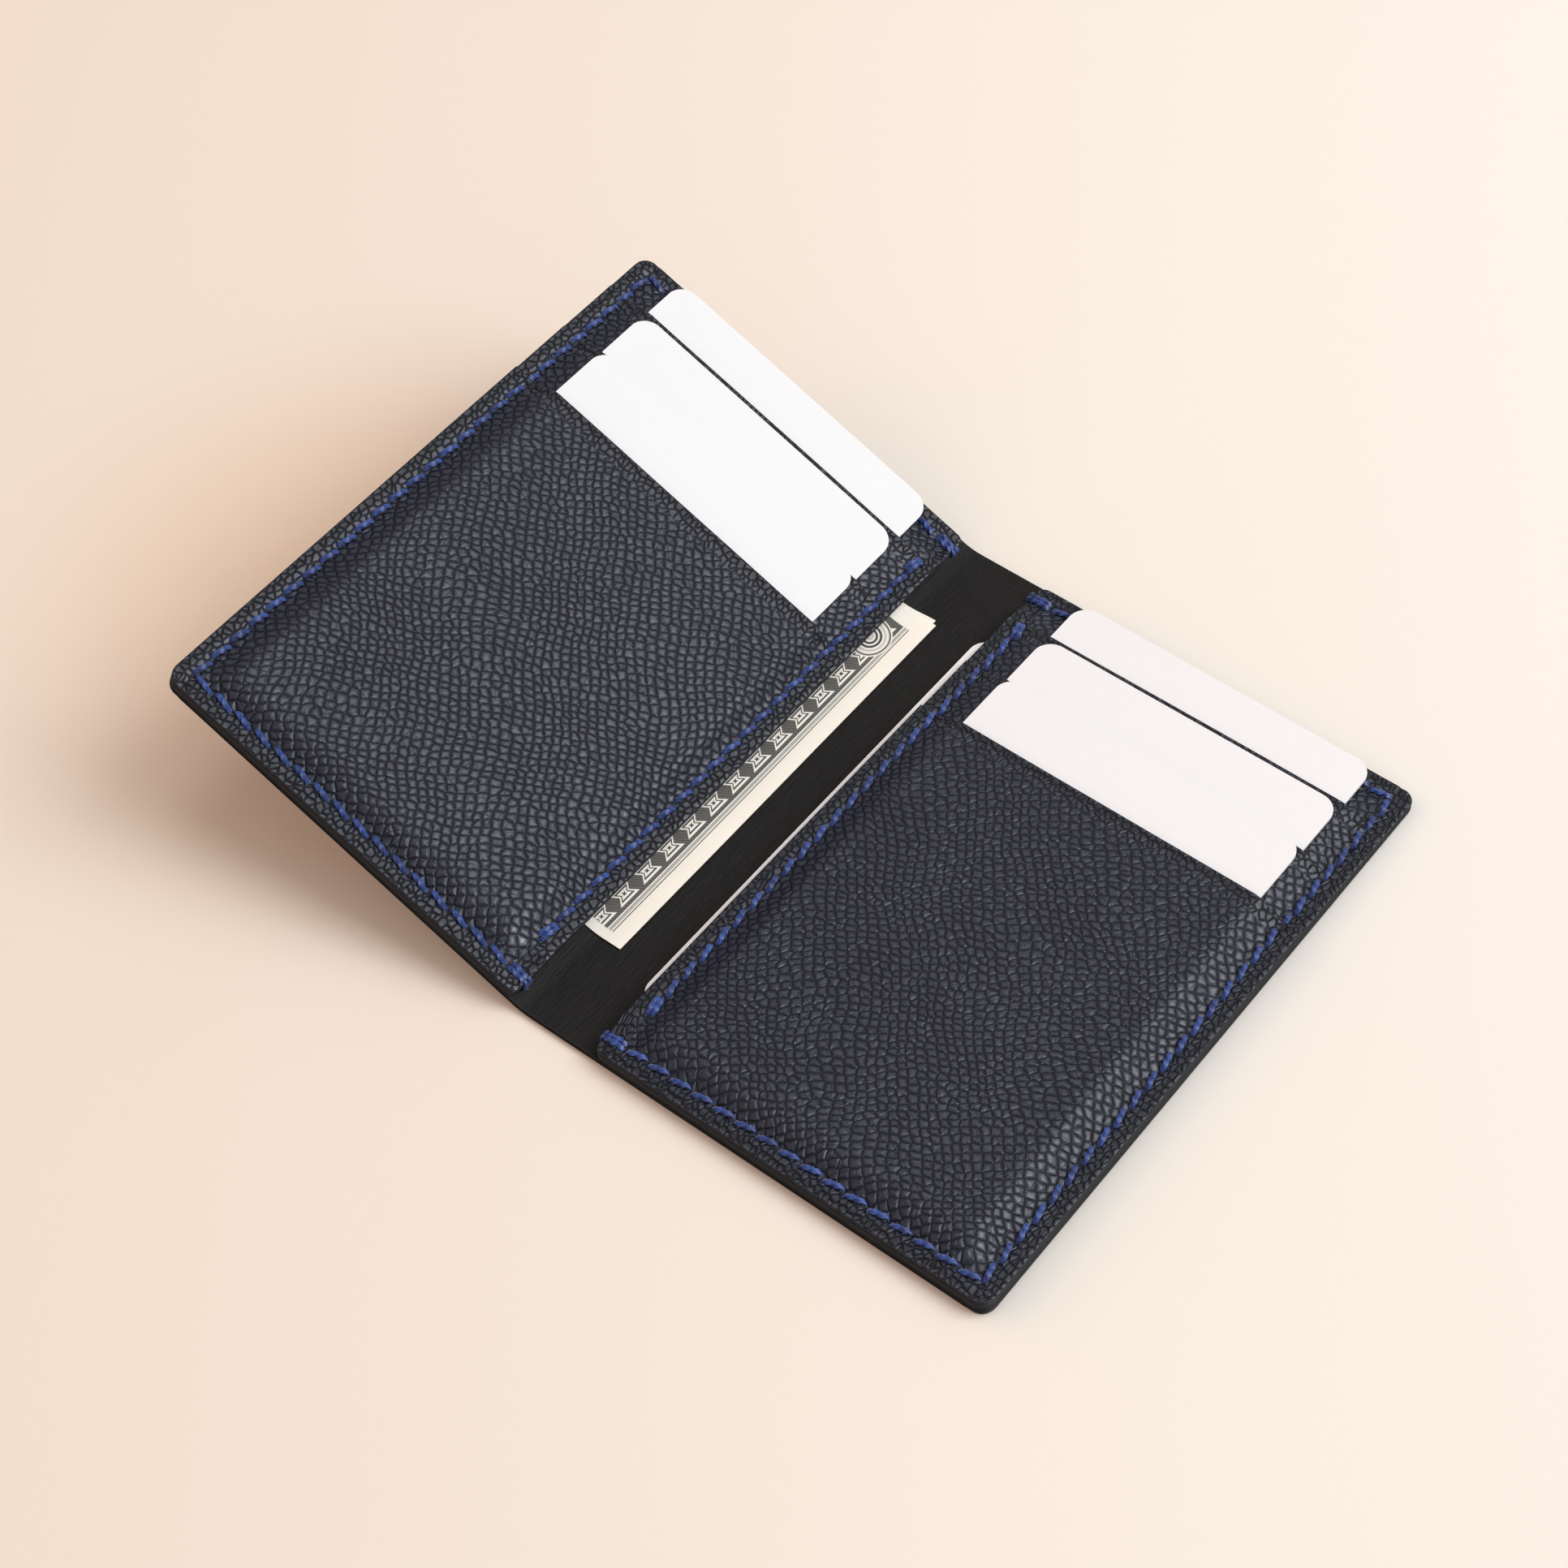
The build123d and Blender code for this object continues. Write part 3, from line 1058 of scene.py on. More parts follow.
@dataclass
class LeatherSheet:
    """One cut sheet of leather: a ruled grid shaped by a height and given its thickness.

    Attributes:
        name: the sheet's name.
        space: the wing it lies on.
        u_range: its extent outwards.
        v_range: its extent from the bottom edge.
        thickness: its thickness.
        height: height of its shaped face at each place.
        finishes: the finish of its faces and the one of its cut edges.
        facing: the face that is shaped.
        u_marks: places outwards where it needs a line of points.
        v_marks: places from the bottom edge where it needs one.
        step: the widest gap between lines.
        outer_corners: radii of the bottom and the top corner on the outer side.
        spine_corners: radii of those on the spine side.
        joins_at_spine: whether the spine side meets the sheet's other half and has no cut edge.
        rounding: radius of the cut edges.
        painted: width of the edge paint on the faces.
    """

    name: str
    space: WingSpace
    u_range: Point
    v_range: Point
    thickness: float
    height: HeightOf
    finishes: tuple[bpy.types.Material, bpy.types.Material]
    facing: Facing = Facing.UP
    u_marks: list[float] = field(default_factory=list)
    v_marks: list[float] = field(default_factory=list)
    step: float = 1.4
    outer_corners: Point = (2.5, 2.5)
    spine_corners: Point = (0.0, 0.0)
    joins_at_spine: bool = False
    rounding: float = 0.28
    painted: float = 0.2

    def build(self) -> bpy.types.Object:
        """Make the sheet.

        Returns:
            The finished object, in place.
        """
        us = ruled(*self.u_range, self.u_marks, self.step)
        vs = ruled(*self.v_range, self.v_marks, self.step)
        piece, column, row = new_grid(self.name, len(us), len(vs))
        u, v = us[column], vs[row]
        gap = self.cut_gap(u, v)
        self.paint_faces(piece, u, v)
        lay_pattern(piece, u if self.space.side is Side.RIGHT else -u, v)
        layer = piece.data.attributes.new(EDGE_GAP, "FLOAT", "POINT")
        layer.data.foreach_set("value", gap.astype(np.float32))
        edge = self.rounding * (1 - np.sqrt(1 - np.clip(1 - gap / self.rounding, 0, 1) ** 2))
        w = self.height(u, v) + self.facing.value * edge
        u, v = self.round_corners(u, v)
        set_coordinates(piece, np.stack([u, v, w], axis=1))
        thicken(piece, self.thickness, self.facing.value, rim=1)
        lay_in_place(piece, self.space)
        tidy_normals(piece)
        return piece

    def cut_gap(self, u: Array, v: Array) -> Array:
        """Find how far places on the sheet are from its nearest cut edge.

        Args:
            u: distances outwards.
            v: distances from the bottom edge.

        Returns:
            The distances to the edge.
        """
        gap = np.minimum(self.u_range[1] - u, np.minimum(v - self.v_range[0], self.v_range[1] - v))
        return gap if self.joins_at_spine else np.minimum(gap, u - self.u_range[0])

    def paint_faces(self, piece: bpy.types.Object, u: Array, v: Array) -> None:
        """Give the faces next to the cut edges the edge paint.

        Args:
            piece: the sheet.
            u: each point's distance outwards.
            v: each point's distance from the bottom edge.
        """
        for finish in self.finishes:
            piece.data.materials.append(finish)
        for face in piece.data.polygons:
            corners = list(face.vertices)
            gap = self.cut_gap(u[corners].mean(), v[corners].mean())
            face.material_index = 1 if gap < self.painted else 0

    def round_corners(self, u: Array, v: Array) -> tuple[Array, Array]:
        """Pull the square corners of the grid in to rounded ones.

        Args:
            u: distances outwards.
            v: distances from the bottom edge.

        Returns:
            Both measures of the rounded sheet.
        """
        ends = ((self.u_range[1], 1.0, self.outer_corners), (self.u_range[0], -1.0, self.spine_corners))
        for u_end, u_sign, radii in ends:
            for v_end, v_sign, radius in zip(self.v_range, (-1.0, 1.0), radii):
                if radius <= 0:
                    continue
                a = (u - u_end) * u_sign + radius
                b = (v - v_end) * v_sign + radius
                near = (a > 0) & (b > 0)
                reach = np.hypot(a, b)
                pull = np.where(near, np.maximum(a, b) / np.where(reach > 0, reach, 1.0), 1.0)
                u = np.where(near, u_end + u_sign * (a * pull - radius), u)
                v = np.where(near, v_end + v_sign * (b * pull - radius), v)
        return u, v


@dataclass(frozen=True)
class LeatherShape:
    """How the leather rises over what it holds and sinks in along the thread.

    Attributes:
        seam_flat: flat leather between the outer seam and a rise.
        hidden_flat: flat leather at the bottom and the top of the pocket that opens at the spine.
        hidden_outer: width of the slope at that pocket's outer side.
        hidden_ends: width of the slopes at its bottom and its top.
        card_flat: flat leather on the spine side of the cards and below them.
        card_slopes: widths of the slopes at the spine side, at the outer side and below.
        pull: how deep the seams lie.
        pull_width: how wide they are drawn in.
        dent: how much deeper the leather is at each hole.
        dent_width: how wide that is.
    """

    seam_flat: float = 0.7
    hidden_flat: float = 4.0
    hidden_outer: float = 4.8
    hidden_ends: float = 3.8
    card_flat: Point = (3.7, 3.5)
    card_slopes: tuple[float, float, float] = (3.6, 4.3, 1.8)
    pull: float = 0.15
    pull_width: float = 0.75
    dent: float = 0.42
    dent_width: float = 0.36

    def over_hidden(self, u: Array, v: Array) -> Array:
        """How far the panels rise over the pocket that opens at the spine.

        Args:
            u: distances outwards.
            v: distances from the bottom edge.

        Returns:
            Shares of the full rise, from 0 to 1.
        """
        size = SIZES
        outer = smooth((size.seam_u - self.seam_flat - u) / self.hidden_outer)
        bottom = smooth((v - self.hidden_flat) / self.hidden_ends)
        return outer * bottom * smooth((size.wing_height - self.hidden_flat - v) / self.hidden_ends)

    def over_cards(self, u: Array, v: Array) -> Array:
        """How far a pocket rises over the cards.

        Args:
            u: distances outwards.
            v: distances from the bottom edge.

        Returns:
            Shares of the full rise, from 0 to 1.
        """
        spine_slope, outer_slope, bottom_slope = self.card_slopes
        sides = smooth((u - self.card_flat[0]) / spine_slope)
        sides = sides * smooth((SIZES.seam_u - self.seam_flat - u) / outer_slope)
        return sides * smooth((v - self.card_flat[1]) / bottom_slope)

    def under_thread(self, u: Array, v: Array, holes: Sequence[Point]) -> Array:
        """How far the thread pulls the leather in.

        Args:
            u: distances outwards.
            v: distances from the bottom edge.
            holes: the needle holes.

        Returns:
            The depths.
        """
        size = SIZES
        low_end, high_end = size.seam_inset, size.wing_height - size.seam_inset
        to_side = np.abs(u - size.seam_u)
        to_ends = np.minimum(np.abs(v - low_end), np.abs(v - high_end))
        past_ends = (v < low_end) | (v > high_end)
        edge_line = np.where(u > size.seam_u, to_side,
                             np.where(past_ends, to_ends, np.minimum(to_side, to_ends)))
        past_spine_seam = np.maximum(0, np.maximum(size.spine_seam_start - v, v - size.mouths[0]))
        spine_line = np.hypot(u - size.spine_seam_inset, past_spine_seam)
        pull = self.pull * np.exp(-(np.minimum(edge_line, spine_line) / self.pull_width) ** 2)
        dents = np.zeros_like(u)
        for hole_u, hole_v in holes:
            near = (np.abs(u - hole_u) < NEAR_HOLE) & (np.abs(v - hole_v) < NEAR_HOLE)
            away = (u[near] - hole_u) ** 2 + (v[near] - hole_v) ** 2
            dents[near] = np.maximum(dents[near], self.dent * np.exp(-away / self.dent_width ** 2))
        return pull + dents


SHAPE = LeatherShape()


@dataclass
class PocketStack:
    """The four sheets of leather sewn on one wing: the back panel and three card pockets.

    Attributes:
        side: the wing.
        finishes: the finishes.
        wave: height of the slow unevenness of the swelled leather.
        wave_length: size of one such wave.
    """

    side: Side
    finishes: Finishes
    wave: float = 0.10
    wave_length: float = 17.0

    def surface(self, layer: int) -> HeightOf:
        """Shape the upper face of one sheet.

        Args:
            layer: 0 for the back panel, then 1 to 3 for the pockets.

        Returns:
            A function from flat places to heights.
        """
        size = SIZES
        base = size.back_level + sum(size.stack[:layer + 1])
        seed = 3.7 if self.side is Side.RIGHT else 8.2

        def height(u: Array, v: Array) -> Array:
            """Height of the face at each place."""
            over_hidden = SHAPE.over_hidden(u, v)
            rise = size.hidden_gap * over_hidden + layer * size.card_slot * SHAPE.over_cards(u, v)
            wave = self.wave * ripple(u, v, self.wave_length, seed) * over_hidden
            return base + rise + wave - SHAPE.under_thread(u, v, SEAMS.all_holes())

        return height

    def build(self) -> None:
        """Make the sheets and attach them to the wing."""
        size = SIZES
        space = WingSpace(self.side)
        names = ("back_panel", "pocket_1", "pocket_2", "front_pocket")
        tops = (size.wing_height, *size.mouths)
        holes = SEAMS.all_holes()
        for layer, (name, top, thickness) in enumerate(zip(names, tops, size.stack)):
            node = f"{name}_{self.side.value}"
            whole = layer == 0
            sheet = LeatherSheet(
                name=f"{node}_leather", space=space, u_range=(0.0, size.wing_width), v_range=(0.0, top),
                thickness=thickness, height=self.surface(layer),
                finishes=(self.finishes.leather, self.finishes.edge),
                u_marks=hole_marks(holes, 0), v_marks=hole_marks(holes, 1),
                outer_corners=(size.corner, size.corner if whole else 0.0),
                spine_corners=(size.spine_corner, size.spine_corner if whole else 0.0))
            piece = sheet.build()
            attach(piece, space.body)
            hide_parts(node)
            log.info("%s: %d faces", piece.name, len(piece.data.polygons))


@dataclass
class CoverAndLining:
    """The grained cover and the smooth lining of one side, from mid spine to the outer edge.

    Attributes:
        side: the wing.
        finishes: the finishes.
        seam_start: how far on the spine side of the panels the cover starts to be drawn in.
        bend_lines: lines of points on each side of the fold.
        bend_step: gap between them.
        wrinkle_lines: lines of points for the lining's wrinkles.
        wrinkle_step: gap between them.
        wrinkle_start: place of the first one.
        lining_step: the widest gap between the lining's lines.
        lining_rounding: radius of its cut edges.
    """

    side: Side
    finishes: Finishes
    seam_start: float = 1.5
    bend_lines: int = 6
    bend_step: float = 0.5
    wrinkle_lines: int = 12
    wrinkle_step: float = 0.8
    wrinkle_start: float = -7.0
    lining_step: float = 1.8
    lining_rounding: float = 0.12

    def outside(self, u: Array, v: Array) -> Array:
        """Shape the underside of the cover, drawn in along the seam.

        Args:
            u: distances outwards.
            v: distances from the bottom edge.

        Returns:
            The heights.
        """
        groove = SHAPE.under_thread(u, v, SEAMS.edge)
        on_wing = smooth((u + self.seam_start) / self.seam_start)
        return groove * on_wing + 0.02 * ripple(u, v, 9.0, 21.0)

    def inside(self, u: Array, v: Array) -> Array:
        """Shape the upper face of the lining, slightly wrinkled along the spine.

        Args:
            u: distances outwards.
            v: distances from the bottom edge.

        Returns:
            The heights.
        """
        return SIZES.back_level + 0.03 * ripple(u * 6.0, v * 0.5, 9.0, 5.0)

    def build(self) -> None:
        """Make both pieces as the wallet lies open, with close lines of points on each side of the fold."""
        size = SIZES
        space = WingSpace(self.side)
        name = self.side.value
        land = size.land(self.side)
        bend = [step * self.bend_step - land for step in range(-self.bend_lines, self.bend_lines + 1)]
        wrinkles = [step * self.wrinkle_step + self.wrinkle_start for step in range(self.wrinkle_lines)]
        extent = {"space": space, "u_range": (-(land + size.spine_width / 2), size.wing_width),
                  "v_range": (0.0, size.wing_height), "joins_at_spine": True}
        cover = LeatherSheet(
            name=f"cover_{name}_leather", thickness=size.cover, height=self.outside,
            finishes=(self.finishes.leather, self.finishes.edge), facing=Facing.DOWN,
            u_marks=bend + hole_marks(SEAMS.edge, 0), v_marks=hole_marks(SEAMS.edge, 1), **extent).build()
        lining = LeatherSheet(
            name=f"lining_{name}_leather", thickness=size.lining, height=self.inside,
            finishes=(self.finishes.lining, self.finishes.edge), u_marks=bend + wrinkles,
            step=self.lining_step, rounding=self.lining_rounding, **extent).build()
        for piece, slot, nodes in ((cover, "grained_leather", "cover"), (lining, "smooth_lining", "lining")):
            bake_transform(piece)
            stands_for = [f"{nodes}_{name}"] + ([f"{nodes}_spine"] if self.side is Side.RIGHT else [])
            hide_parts(*stands_for)
            log.info("%s: %d faces", piece.name, len(piece.data.polygons))


# ---------------------------------------------------------------- thread

LevelOf = Callable[[float, float], float]


@dataclass
class StitchShape:
    """One stitch of three-ply thread, lying along X, which dips into its holes at both ends.

    Attributes:
        length: length between its ends.
        radius: radius over the plies.
        rings: rings of faces along it.
        corners: corners of its section, every other one in the valley between two plies.
        valley: radius of the valleys, as a share of the full one.
        twist: turn of the plies from ring to ring, in degrees.
        rise: height of its middle.
        dip: depth of its ends.
        end_share: radius at the ends, as a share of the full one.
        flatness: height of the section, as a share of its width.
    """

    length: float = 3.95
    radius: float = 0.52
    rings: int = 8
    corners: int = 6
    valley: float = 0.66
    twist: float = 45.0
    rise: float = 0.18
    dip: float = 0.66
    end_share: float = 0.36
    flatness: float = 0.9

    def build(self) -> bpy.types.Object:
        """Model the stitch.

        Returns:
            A closed object at the origin, in metres.
        """
        bpy.ops.object.select_all(action="DESELECT")
        start = -self.length / 2 * MM
        bpy.ops.mesh.primitive_circle_add(vertices=self.corners, radius=self.radius * MM, fill_type="NGON",
                                          location=(start, 0, 0), rotation=(0, math.pi / 2, 0))
        piece = bpy.context.active_object
        settle(piece)
        for vertex in list(piece.data.vertices)[::2]:
            vertex.co.y *= self.valley
            vertex.co.z *= self.valley
        bpy.ops.object.mode_set(mode="EDIT")
        bpy.ops.mesh.select_mode(type="FACE")
        bpy.ops.mesh.select_all(action="SELECT")
        stride = self.length / self.rings * MM
        for ring in range(1, self.rings + 1):
            bpy.ops.mesh.extrude_region_move(TRANSFORM_OT_translate={"value": (stride, 0, 0)})
            centre = (start + ring * stride, 0, 0)
            bpy.ops.transform.rotate(value=math.radians(self.twist), orient_axis="X", center_override=centre)
        bpy.ops.object.mode_set(mode="OBJECT")
        points = coordinates(piece)
        along = np.abs(points[:, 0]) / (self.length / 2 * MM)
        slim = self.end_share + (1 - self.end_share) * np.sqrt(np.clip(1 - along ** 2.8, 0, 1))
        lift = self.rise - (self.rise + self.dip) * along ** 5.0
        points[:, 1] *= slim
        points[:, 2] = points[:, 2] * slim * self.flatness + lift * MM
        set_coordinates(piece, points)
        tidy_normals(piece, STITCH_ANGLE)
        return piece


@dataclass
class Stitching:
    """The saddle stitching of one wing, on both faces of the leather.

    Attributes:
        side: the wing.
        finishes: the finishes.
        slant: turn of each stitch against its seam, in degrees.
        clear: height of the thread over the leather.
        under_level: height of the stitches outside, above the underside of the cover.
        under_share: height of those stitches as a share of the inner ones, downwards.
        doubled: sideways offset and extra slant of two threads side by side, at a seam's end.
        wrapped: the same for the threads that go over the panels' edge.
        overlap: how far the wrapped threads start past their hole.
        wrap_edge: how far they go past the panels' edge on top.
        wrap_out: how far they stand out from that edge.
        wrap_middle: middle of their upright part, as a share of the edge's height.
        wrap_extra: how much longer than the edge's height that part is.
        wrap_spread: sideways offset there, as a share of the one on top.
        wrap_flatness: thickness of that part, as a share of the stitch's.
    """

    side: Side
    finishes: Finishes
    slant: float = 12.0
    clear: float = 0.02
    under_level: float = 0.50
    under_share: float = -0.8
    doubled: tuple[Point, Point] = ((-0.36, 2.0), (0.36, -3.0))
    wrapped: tuple[Point, Point] = ((-0.38, -6.0), (0.38, -10.0))
    overlap: float = 0.1
    wrap_edge: float = -0.15
    wrap_out: float = -0.22
    wrap_middle: float = 0.45
    wrap_extra: float = 1.2
    wrap_spread: float = 1.1
    wrap_flatness: float = 0.7

    def place(self, start: Point, end: Point, level: LevelOf, shape: bpy.types.Object, shift: float = 0.0,
              turn: float = 0.0, under: bool = False) -> bpy.types.Object:
        """Lay one copy of the stitch between two holes.

        Args:
            start: the first hole.
            end: the second hole.
            level: height of the leather at a place.
            shape: the stitch to copy.
            shift: sideways offset.
            turn: extra slant in degrees.
            under: whether it lies on the outside of the cover.

        Returns:
            The copy, placed in its mesh.
        """
        copy = self.copied(shape)
        middle = ((start[0] + end[0]) / 2, (start[1] + end[1]) / 2)
        run = (end[0] - start[0], end[1] - start[1])
        angle = math.atan2(run[1], run[0]) + math.radians(self.slant + turn)
        points = coordinates(copy) / MM
        along = points[:, 0] * math.hypot(*run) / SIZES.stitch
        across = points[:, 1] + shift
        height = points[:, 2] * (self.under_share if under else 1.0)
        u = middle[0] + along * math.cos(angle) - across * math.sin(angle)
        v = middle[1] + along * math.sin(angle) + across * math.cos(angle)
        set_coordinates(copy, WingSpace(self.side).place(u, v, height + level(*middle)))
        return copy

    def copied(self, shape: bpy.types.Object) -> bpy.types.Object:
        """Copy a stitch with a mesh of its own.

        Args:
            shape: the stitch.

        Returns:
            The copy.
        """
        copy = shape.copy()
        copy.data = shape.data.copy()
        bpy.context.scene.collection.objects.link(copy)
        return copy

    def wrap_end(self, hole: Point, level: LevelOf, shape: bpy.types.Object) -> list[bpy.types.Object]:
        """Lay two threads side by side over the panels' spine-side edge and down to the lining.

        Args:
            hole: the hole next to that edge.
            level: height of the leather at a place.
            shape: the stitch to copy.

        Returns:
            The four copies.
        """
        u_hole, v = hole
        drop = level(0.0, v) - SIZES.back_level
        copies = []
        for shift, turn in self.wrapped:
            ends = (u_hole - self.overlap, v), (self.wrap_edge, v)
            copies.append(self.place(*ends, level, shape, shift, turn))
            copy = self.copied(shape)
            points = coordinates(copy) / MM
            stretch = (drop + self.wrap_extra) / StitchShape.length
            w = SIZES.back_level + drop * self.wrap_middle + points[:, 0] * stretch
            u = self.wrap_out - points[:, 2] * self.wrap_flatness
            across = v + points[:, 1] + shift * self.wrap_spread
            set_coordinates(copy, WingSpace(self.side).place(u, across, w))
            copies.append(copy)
        return copies

    def join(self, copies: list[bpy.types.Object], name: str, node: str) -> None:
        """Join a seam's stitches into one piece on the wing.

        Args:
            copies: the stitches.
            name: the piece's name.
            node: the thread it stands for.
        """
        bpy.ops.object.select_all(action="DESELECT")
        for copy in copies:
            copy.select_set(True)
        bpy.context.view_layer.objects.active = copies[0]
        bpy.ops.object.join()
        piece = bpy.context.active_object
        piece.name = piece.data.name = name
        tidy_normals(piece, STITCH_ANGLE)
        piece.data.materials.clear()
        piece.data.materials.append(self.finishes.thread)
        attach(piece, WingSpace(self.side).body)
        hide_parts(node)
        log.info("%s: %d stitches, %d faces", name, len(copies), len(piece.data.polygons))

    def build(self) -> None:
        """Lay the seam round the edges and the one along the panels' spine side."""
        name = self.side.value
        shape = StitchShape().build()
        self.join(self.edge_seam(shape), f"edge_stitches_{name}", f"edge_thread_{name}")
        self.join(self.spine_seam(shape), f"spine_stitches_{name}", f"spine_thread_{name}")
        bpy.data.objects.remove(shape)

    def edge_seam(self, shape: bpy.types.Object) -> list[bpy.types.Object]:
        """Lay the seam round the three outer sides, with both its ends wrapped.

        Args:
            shape: the stitch to copy.

        Returns:
            The copies.
        """

        def inner_level(u: float, v: float) -> float:
            """Height of the sewn margin, without the dents."""
            return SIZES.margin_level(v) + self.clear

        def outer_level(u: float, v: float) -> float:
            """Height of the groove in the outside of the cover."""
            return self.under_level

        middle_pairs = list(zip(SEAMS.edge, SEAMS.edge[1:]))[1:-1]
        copies = self.wrap_end(SEAMS.edge[1], inner_level, shape)
        copies += [self.place(start, end, inner_level, shape) for start, end in middle_pairs]
        copies += self.wrap_end(SEAMS.edge[-2], inner_level, shape)
        copies += [self.place(start, end, outer_level, shape, under=True) for start, end in middle_pairs]
        return copies

    def spine_seam(self, shape: bpy.types.Object) -> list[bpy.types.Object]:
        """Lay the seam along the panels' spine side, with its first and last stitch doubled.

        Args:
            shape: the stitch to copy.

        Returns:
            The copies.
        """

        def level(u: float, v: float) -> float:
            """Height of the panels beside the spine."""
            swell = float(SHAPE.over_hidden(np.array([u]), np.array([v]))[0])
            return SIZES.margin_level(v) + SIZES.hidden_gap * swell + self.clear

        pairs = list(zip(SEAMS.spine, SEAMS.spine[1:]))
        copies = [self.place(start, end, level, shape) for start, end in pairs[1:-1]]
        for start, end in (pairs[0], pairs[-1]):
            copies += [self.place(start, end, level, shape, shift, turn) for shift, turn in self.doubled]
        return copies


# ---------------------------------------------------------------- contents


@dataclass
class Note:
    """A banknote folded in half, which lies in the left wing and over the spine.

    Attributes:
        finishes: the finishes.
        length: its length when folded.
        out: how far it reaches out of the panels on their spine side.
        inner_edge: how far in its fold lies.
        leaf: thickness of each leaf.
        gap: room between the leaves, away from the fold.
        clear: height of the lower leaf's middle over the lining.
        under_short: how far the lower leaf ends before the upper one at the open edge.
        under_shift: how far the lower leaf is out of line there.
        slack: width over which the leaves come into line.
        curl: rise of the open edge.
        curl_wave: unevenness of that rise.
        curl_width: width of the part that rises.
        fold_width: width over which the leaves close up at the fold.
        shown_width: width of the part with close lines of points.
        shown_step: gap between them.
        hidden_step: gap between those of the rest.
        rows: lines of points along its length.
        back_print: place of the lower leaf's print, away from the upper one's.
    """

    finishes: Finishes
    length: float = 78.0
    out: float = 7.1
    inner_edge: float = 59.2
    leaf: float = 0.10
    gap: float = 0.05
    clear: float = 0.10
    under_short: float = 0.7
    under_shift: float = 0.9
    slack: float = 12.0
    curl: float = 0.05
    curl_wave: float = 0.04
    curl_width: float = 8.5
    fold_width: float = 1.2
    shown_width: float = 14.0
    shown_step: float = 0.5
    hidden_step: float = 3.0
    rows: int = 40
    back_print: float = -20.0

    def build(self) -> None:
        """Make the two leaves as one folded strip."""
        space = WingSpace(Side.LEFT)
        width = self.inner_edge + self.out
        lines = np.concatenate([np.arange(0.0, self.shown_width, self.shown_step),
                                np.arange(self.shown_width, width - 1.0, self.hidden_step),
                                np.linspace(width - 0.9, width, 5)])
        there_and_back = np.concatenate([lines, lines[::-1]])
        piece, column, row = new_grid("folded_note", len(there_and_back), self.rows)
        inward, upper = there_and_back[column], column < len(lines)
        up = np.linspace(0.0, self.length, self.rows)[row]
        lay_pattern(piece, np.where(upper, inward, self.back_print - inward), up)
        set_coordinates(piece, self.shaped(inward, up, upper, width))
        thicken(piece, self.leaf, 0.0)
        lay_in_place(piece, space)
        tidy_normals(piece, 50.0)
        piece.data.materials.append(self.finishes.note)
        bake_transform(piece)
        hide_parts("banknote_in_pocket", "banknote_end")
        log.info("folded_note: %d faces", len(piece.data.polygons))

    def shaped(self, inward: Array, up: Array, upper: Array, width: float) -> Array:
        """Lay both leaves one over the other.

        Args:
            inward: distances from the open edge.
            up: distances from the note's lower end.
            upper: which points are in the upper leaf.
            width: width of the folded note.

        Returns:
            The points, in flat millimetres.
        """
        slack = smooth((self.slack - inward) / self.slack)
        u = -self.out + inward + np.where(upper, 0.0, self.under_short * slack)
        v = (SIZES.wing_height - self.length) / 2 + up + np.where(upper, 0.0, self.under_shift * slack)
        near_edge = smooth((self.curl_width - inward) / self.curl_width)
        curl = near_edge * (self.curl + self.curl_wave * ripple(u, v, 19.0, 2.0))
        apart = self.leaf + self.gap * smooth((width - inward) / self.fold_width)
        w = SIZES.back_level + self.clear + curl + np.where(upper, apart, 0.0)
        return np.stack([u, v, w], axis=1)


@dataclass
class Cards:
    """The blank cards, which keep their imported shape."""

    finishes: Finishes

    def build(self) -> None:
        """Give each card its finish."""
        for name, node in frame["nodes"].items():
            if name.startswith("card_") or name == "hidden_card":
                node.data.materials.clear()
                node.data.materials.append(self.finishes.card)
                log.info("%s dressed", name)


# ---------------------------------------------------------------- setting


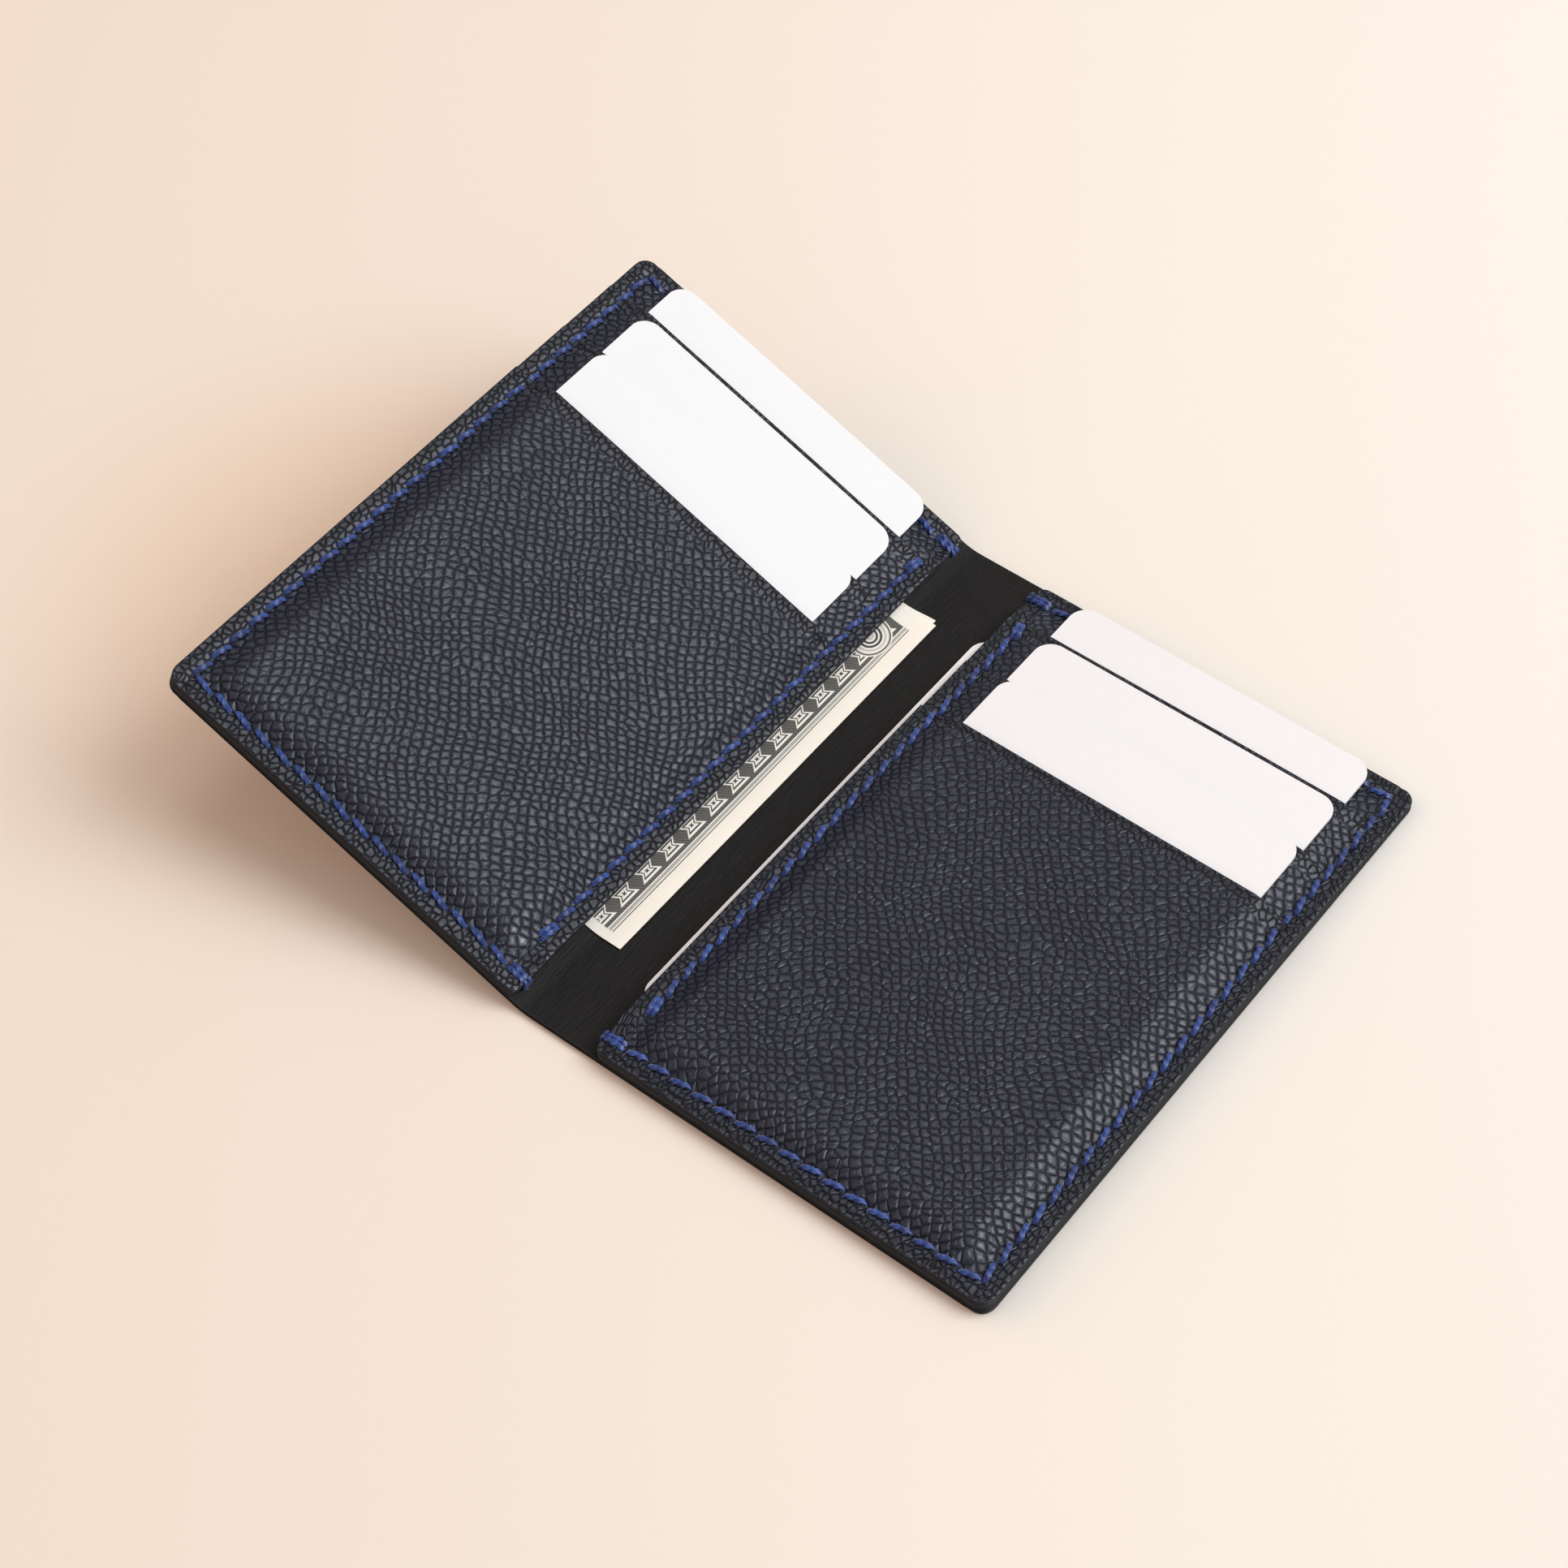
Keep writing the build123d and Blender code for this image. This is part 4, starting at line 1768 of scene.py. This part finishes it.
@dataclass
class Setting:
    """The table, the lights and the camera.

    Attributes:
        finishes: the finishes.
        camera_place: where the camera stands.
        look: the way it looks.
        upward: the way its picture's top points.
        lens: its focal length.
        film: width of its film.
        table_size: side of the table top.
        table_gap: how far the table top lies below the wallet.
        room: colour of the room's light.
        room_strength: strength of it.
    """

    finishes: Finishes
    camera_place: Vector = field(default_factory=lambda: Vector((198.88, -251.25, 417.92)) * MM)
    look: Vector = field(default_factory=lambda: Vector((-0.38327, 0.47674, -0.79109)))
    upward: Vector = field(default_factory=lambda: Vector((-0.47947, 0.62936, 0.61157)))
    lens: float = 79.66
    film: float = 36.0
    table_size: float = 6.0
    table_gap: float = 0.00005
    room: Colour = (1.0, 0.94, 0.90)
    room_strength: float = 0.44

    def build(self) -> None:
        """Add all of it to the scene."""
        self.add_table()
        self.add_lights()
        self.add_camera()

    def add_table(self) -> None:
        """Add the large plain surface below the wallet."""
        bpy.ops.object.select_all(action="DESELECT")
        bpy.ops.mesh.primitive_plane_add(size=self.table_size, location=(0, 0, -self.table_gap))
        table = bpy.context.active_object
        table.name = "table_top"
        table.data.materials.append(self.finishes.table)
        settle(table)

    def area_light(self, name: str, place: tuple[float, float, float], size: float, power: float,
                   colour: Colour, lights: bool = True, shines: bool = True) -> None:
        """Add a square soft light that looks at the wallet.

        Args:
            name: the light's name.
            place: where it stands.
            size: its side.
            power: its power in watts.
            colour: its colour.
            lights: whether it lights dull surfaces.
            shines: whether it is mirrored in glossy ones.
        """
        lamp = bpy.data.lights.new(name, "AREA")
        lamp.size, lamp.energy, lamp.color = size, power, colour
        holder = bpy.data.objects.new(name, lamp)
        bpy.context.scene.collection.objects.link(holder)
        holder.location = place
        holder.rotation_euler = (-Vector(place)).to_track_quat("-Z", "Y").to_euler()
        holder.visible_diffuse, holder.visible_glossy = lights, shines

    def add_lights(self) -> None:
        """Add one window behind on the right, its shine, a soft room and a warm wall on the left."""
        self.area_light("window", (0.80, 0.57, 1.12), 1.0, 14.2, (0.985, 0.99, 1.0))
        self.area_light("window glint", (1.20, -0.10, 0.70), 0.50, 18.5, (0.97, 0.985, 1.0), lights=False)
        self.area_light("ceiling", (-0.1, 0.5, 1.9), 0.8, 4.2, (0.98, 0.99, 1.0))
        self.area_light("warm wall", (-1.80, -1.00, 0.56), 2.40, 34.0, (1.0, 0.45, 0.22), shines=False)
        world = bpy.data.worlds.new("room")
        world.use_nodes = True
        background = world.node_tree.nodes["Background"]
        background.inputs["Color"].default_value = (*self.room, 1.0)
        background.inputs["Strength"].default_value = self.room_strength
        bpy.context.scene.world = world
        bpy.context.scene.view_settings.view_transform = "Standard"

    def add_camera(self) -> None:
        """Add the camera, looking down at the open wallet."""
        camera = bpy.data.cameras.new("camera")
        camera.lens, camera.sensor_width = self.lens, self.film
        camera.clip_start = 0.01
        holder = bpy.data.objects.new("camera", camera)
        bpy.context.scene.collection.objects.link(holder)
        back = -self.look.normalized()
        side = self.upward.cross(back).normalized()
        up = back.cross(side)
        turn = Matrix((side, up, back)).transposed().to_4x4()
        holder.matrix_world = Matrix.Translation(self.camera_place) @ turn
        bpy.context.scene.camera = holder


def main() -> None:
    """Build the wallet's pieces in order, then its setting."""
    logging.basicConfig(level=logging.INFO, format="%(name)s: %(message)s")
    finishes = Finishes()
    Setting(finishes).build()
    for side in Side:
        CoverAndLining(side, finishes).build()
        PocketStack(side, finishes).build()
        Stitching(side, finishes).build()
    Note(finishes).build()
    Cards(finishes).build()


if __name__ == "__main__":
    main()
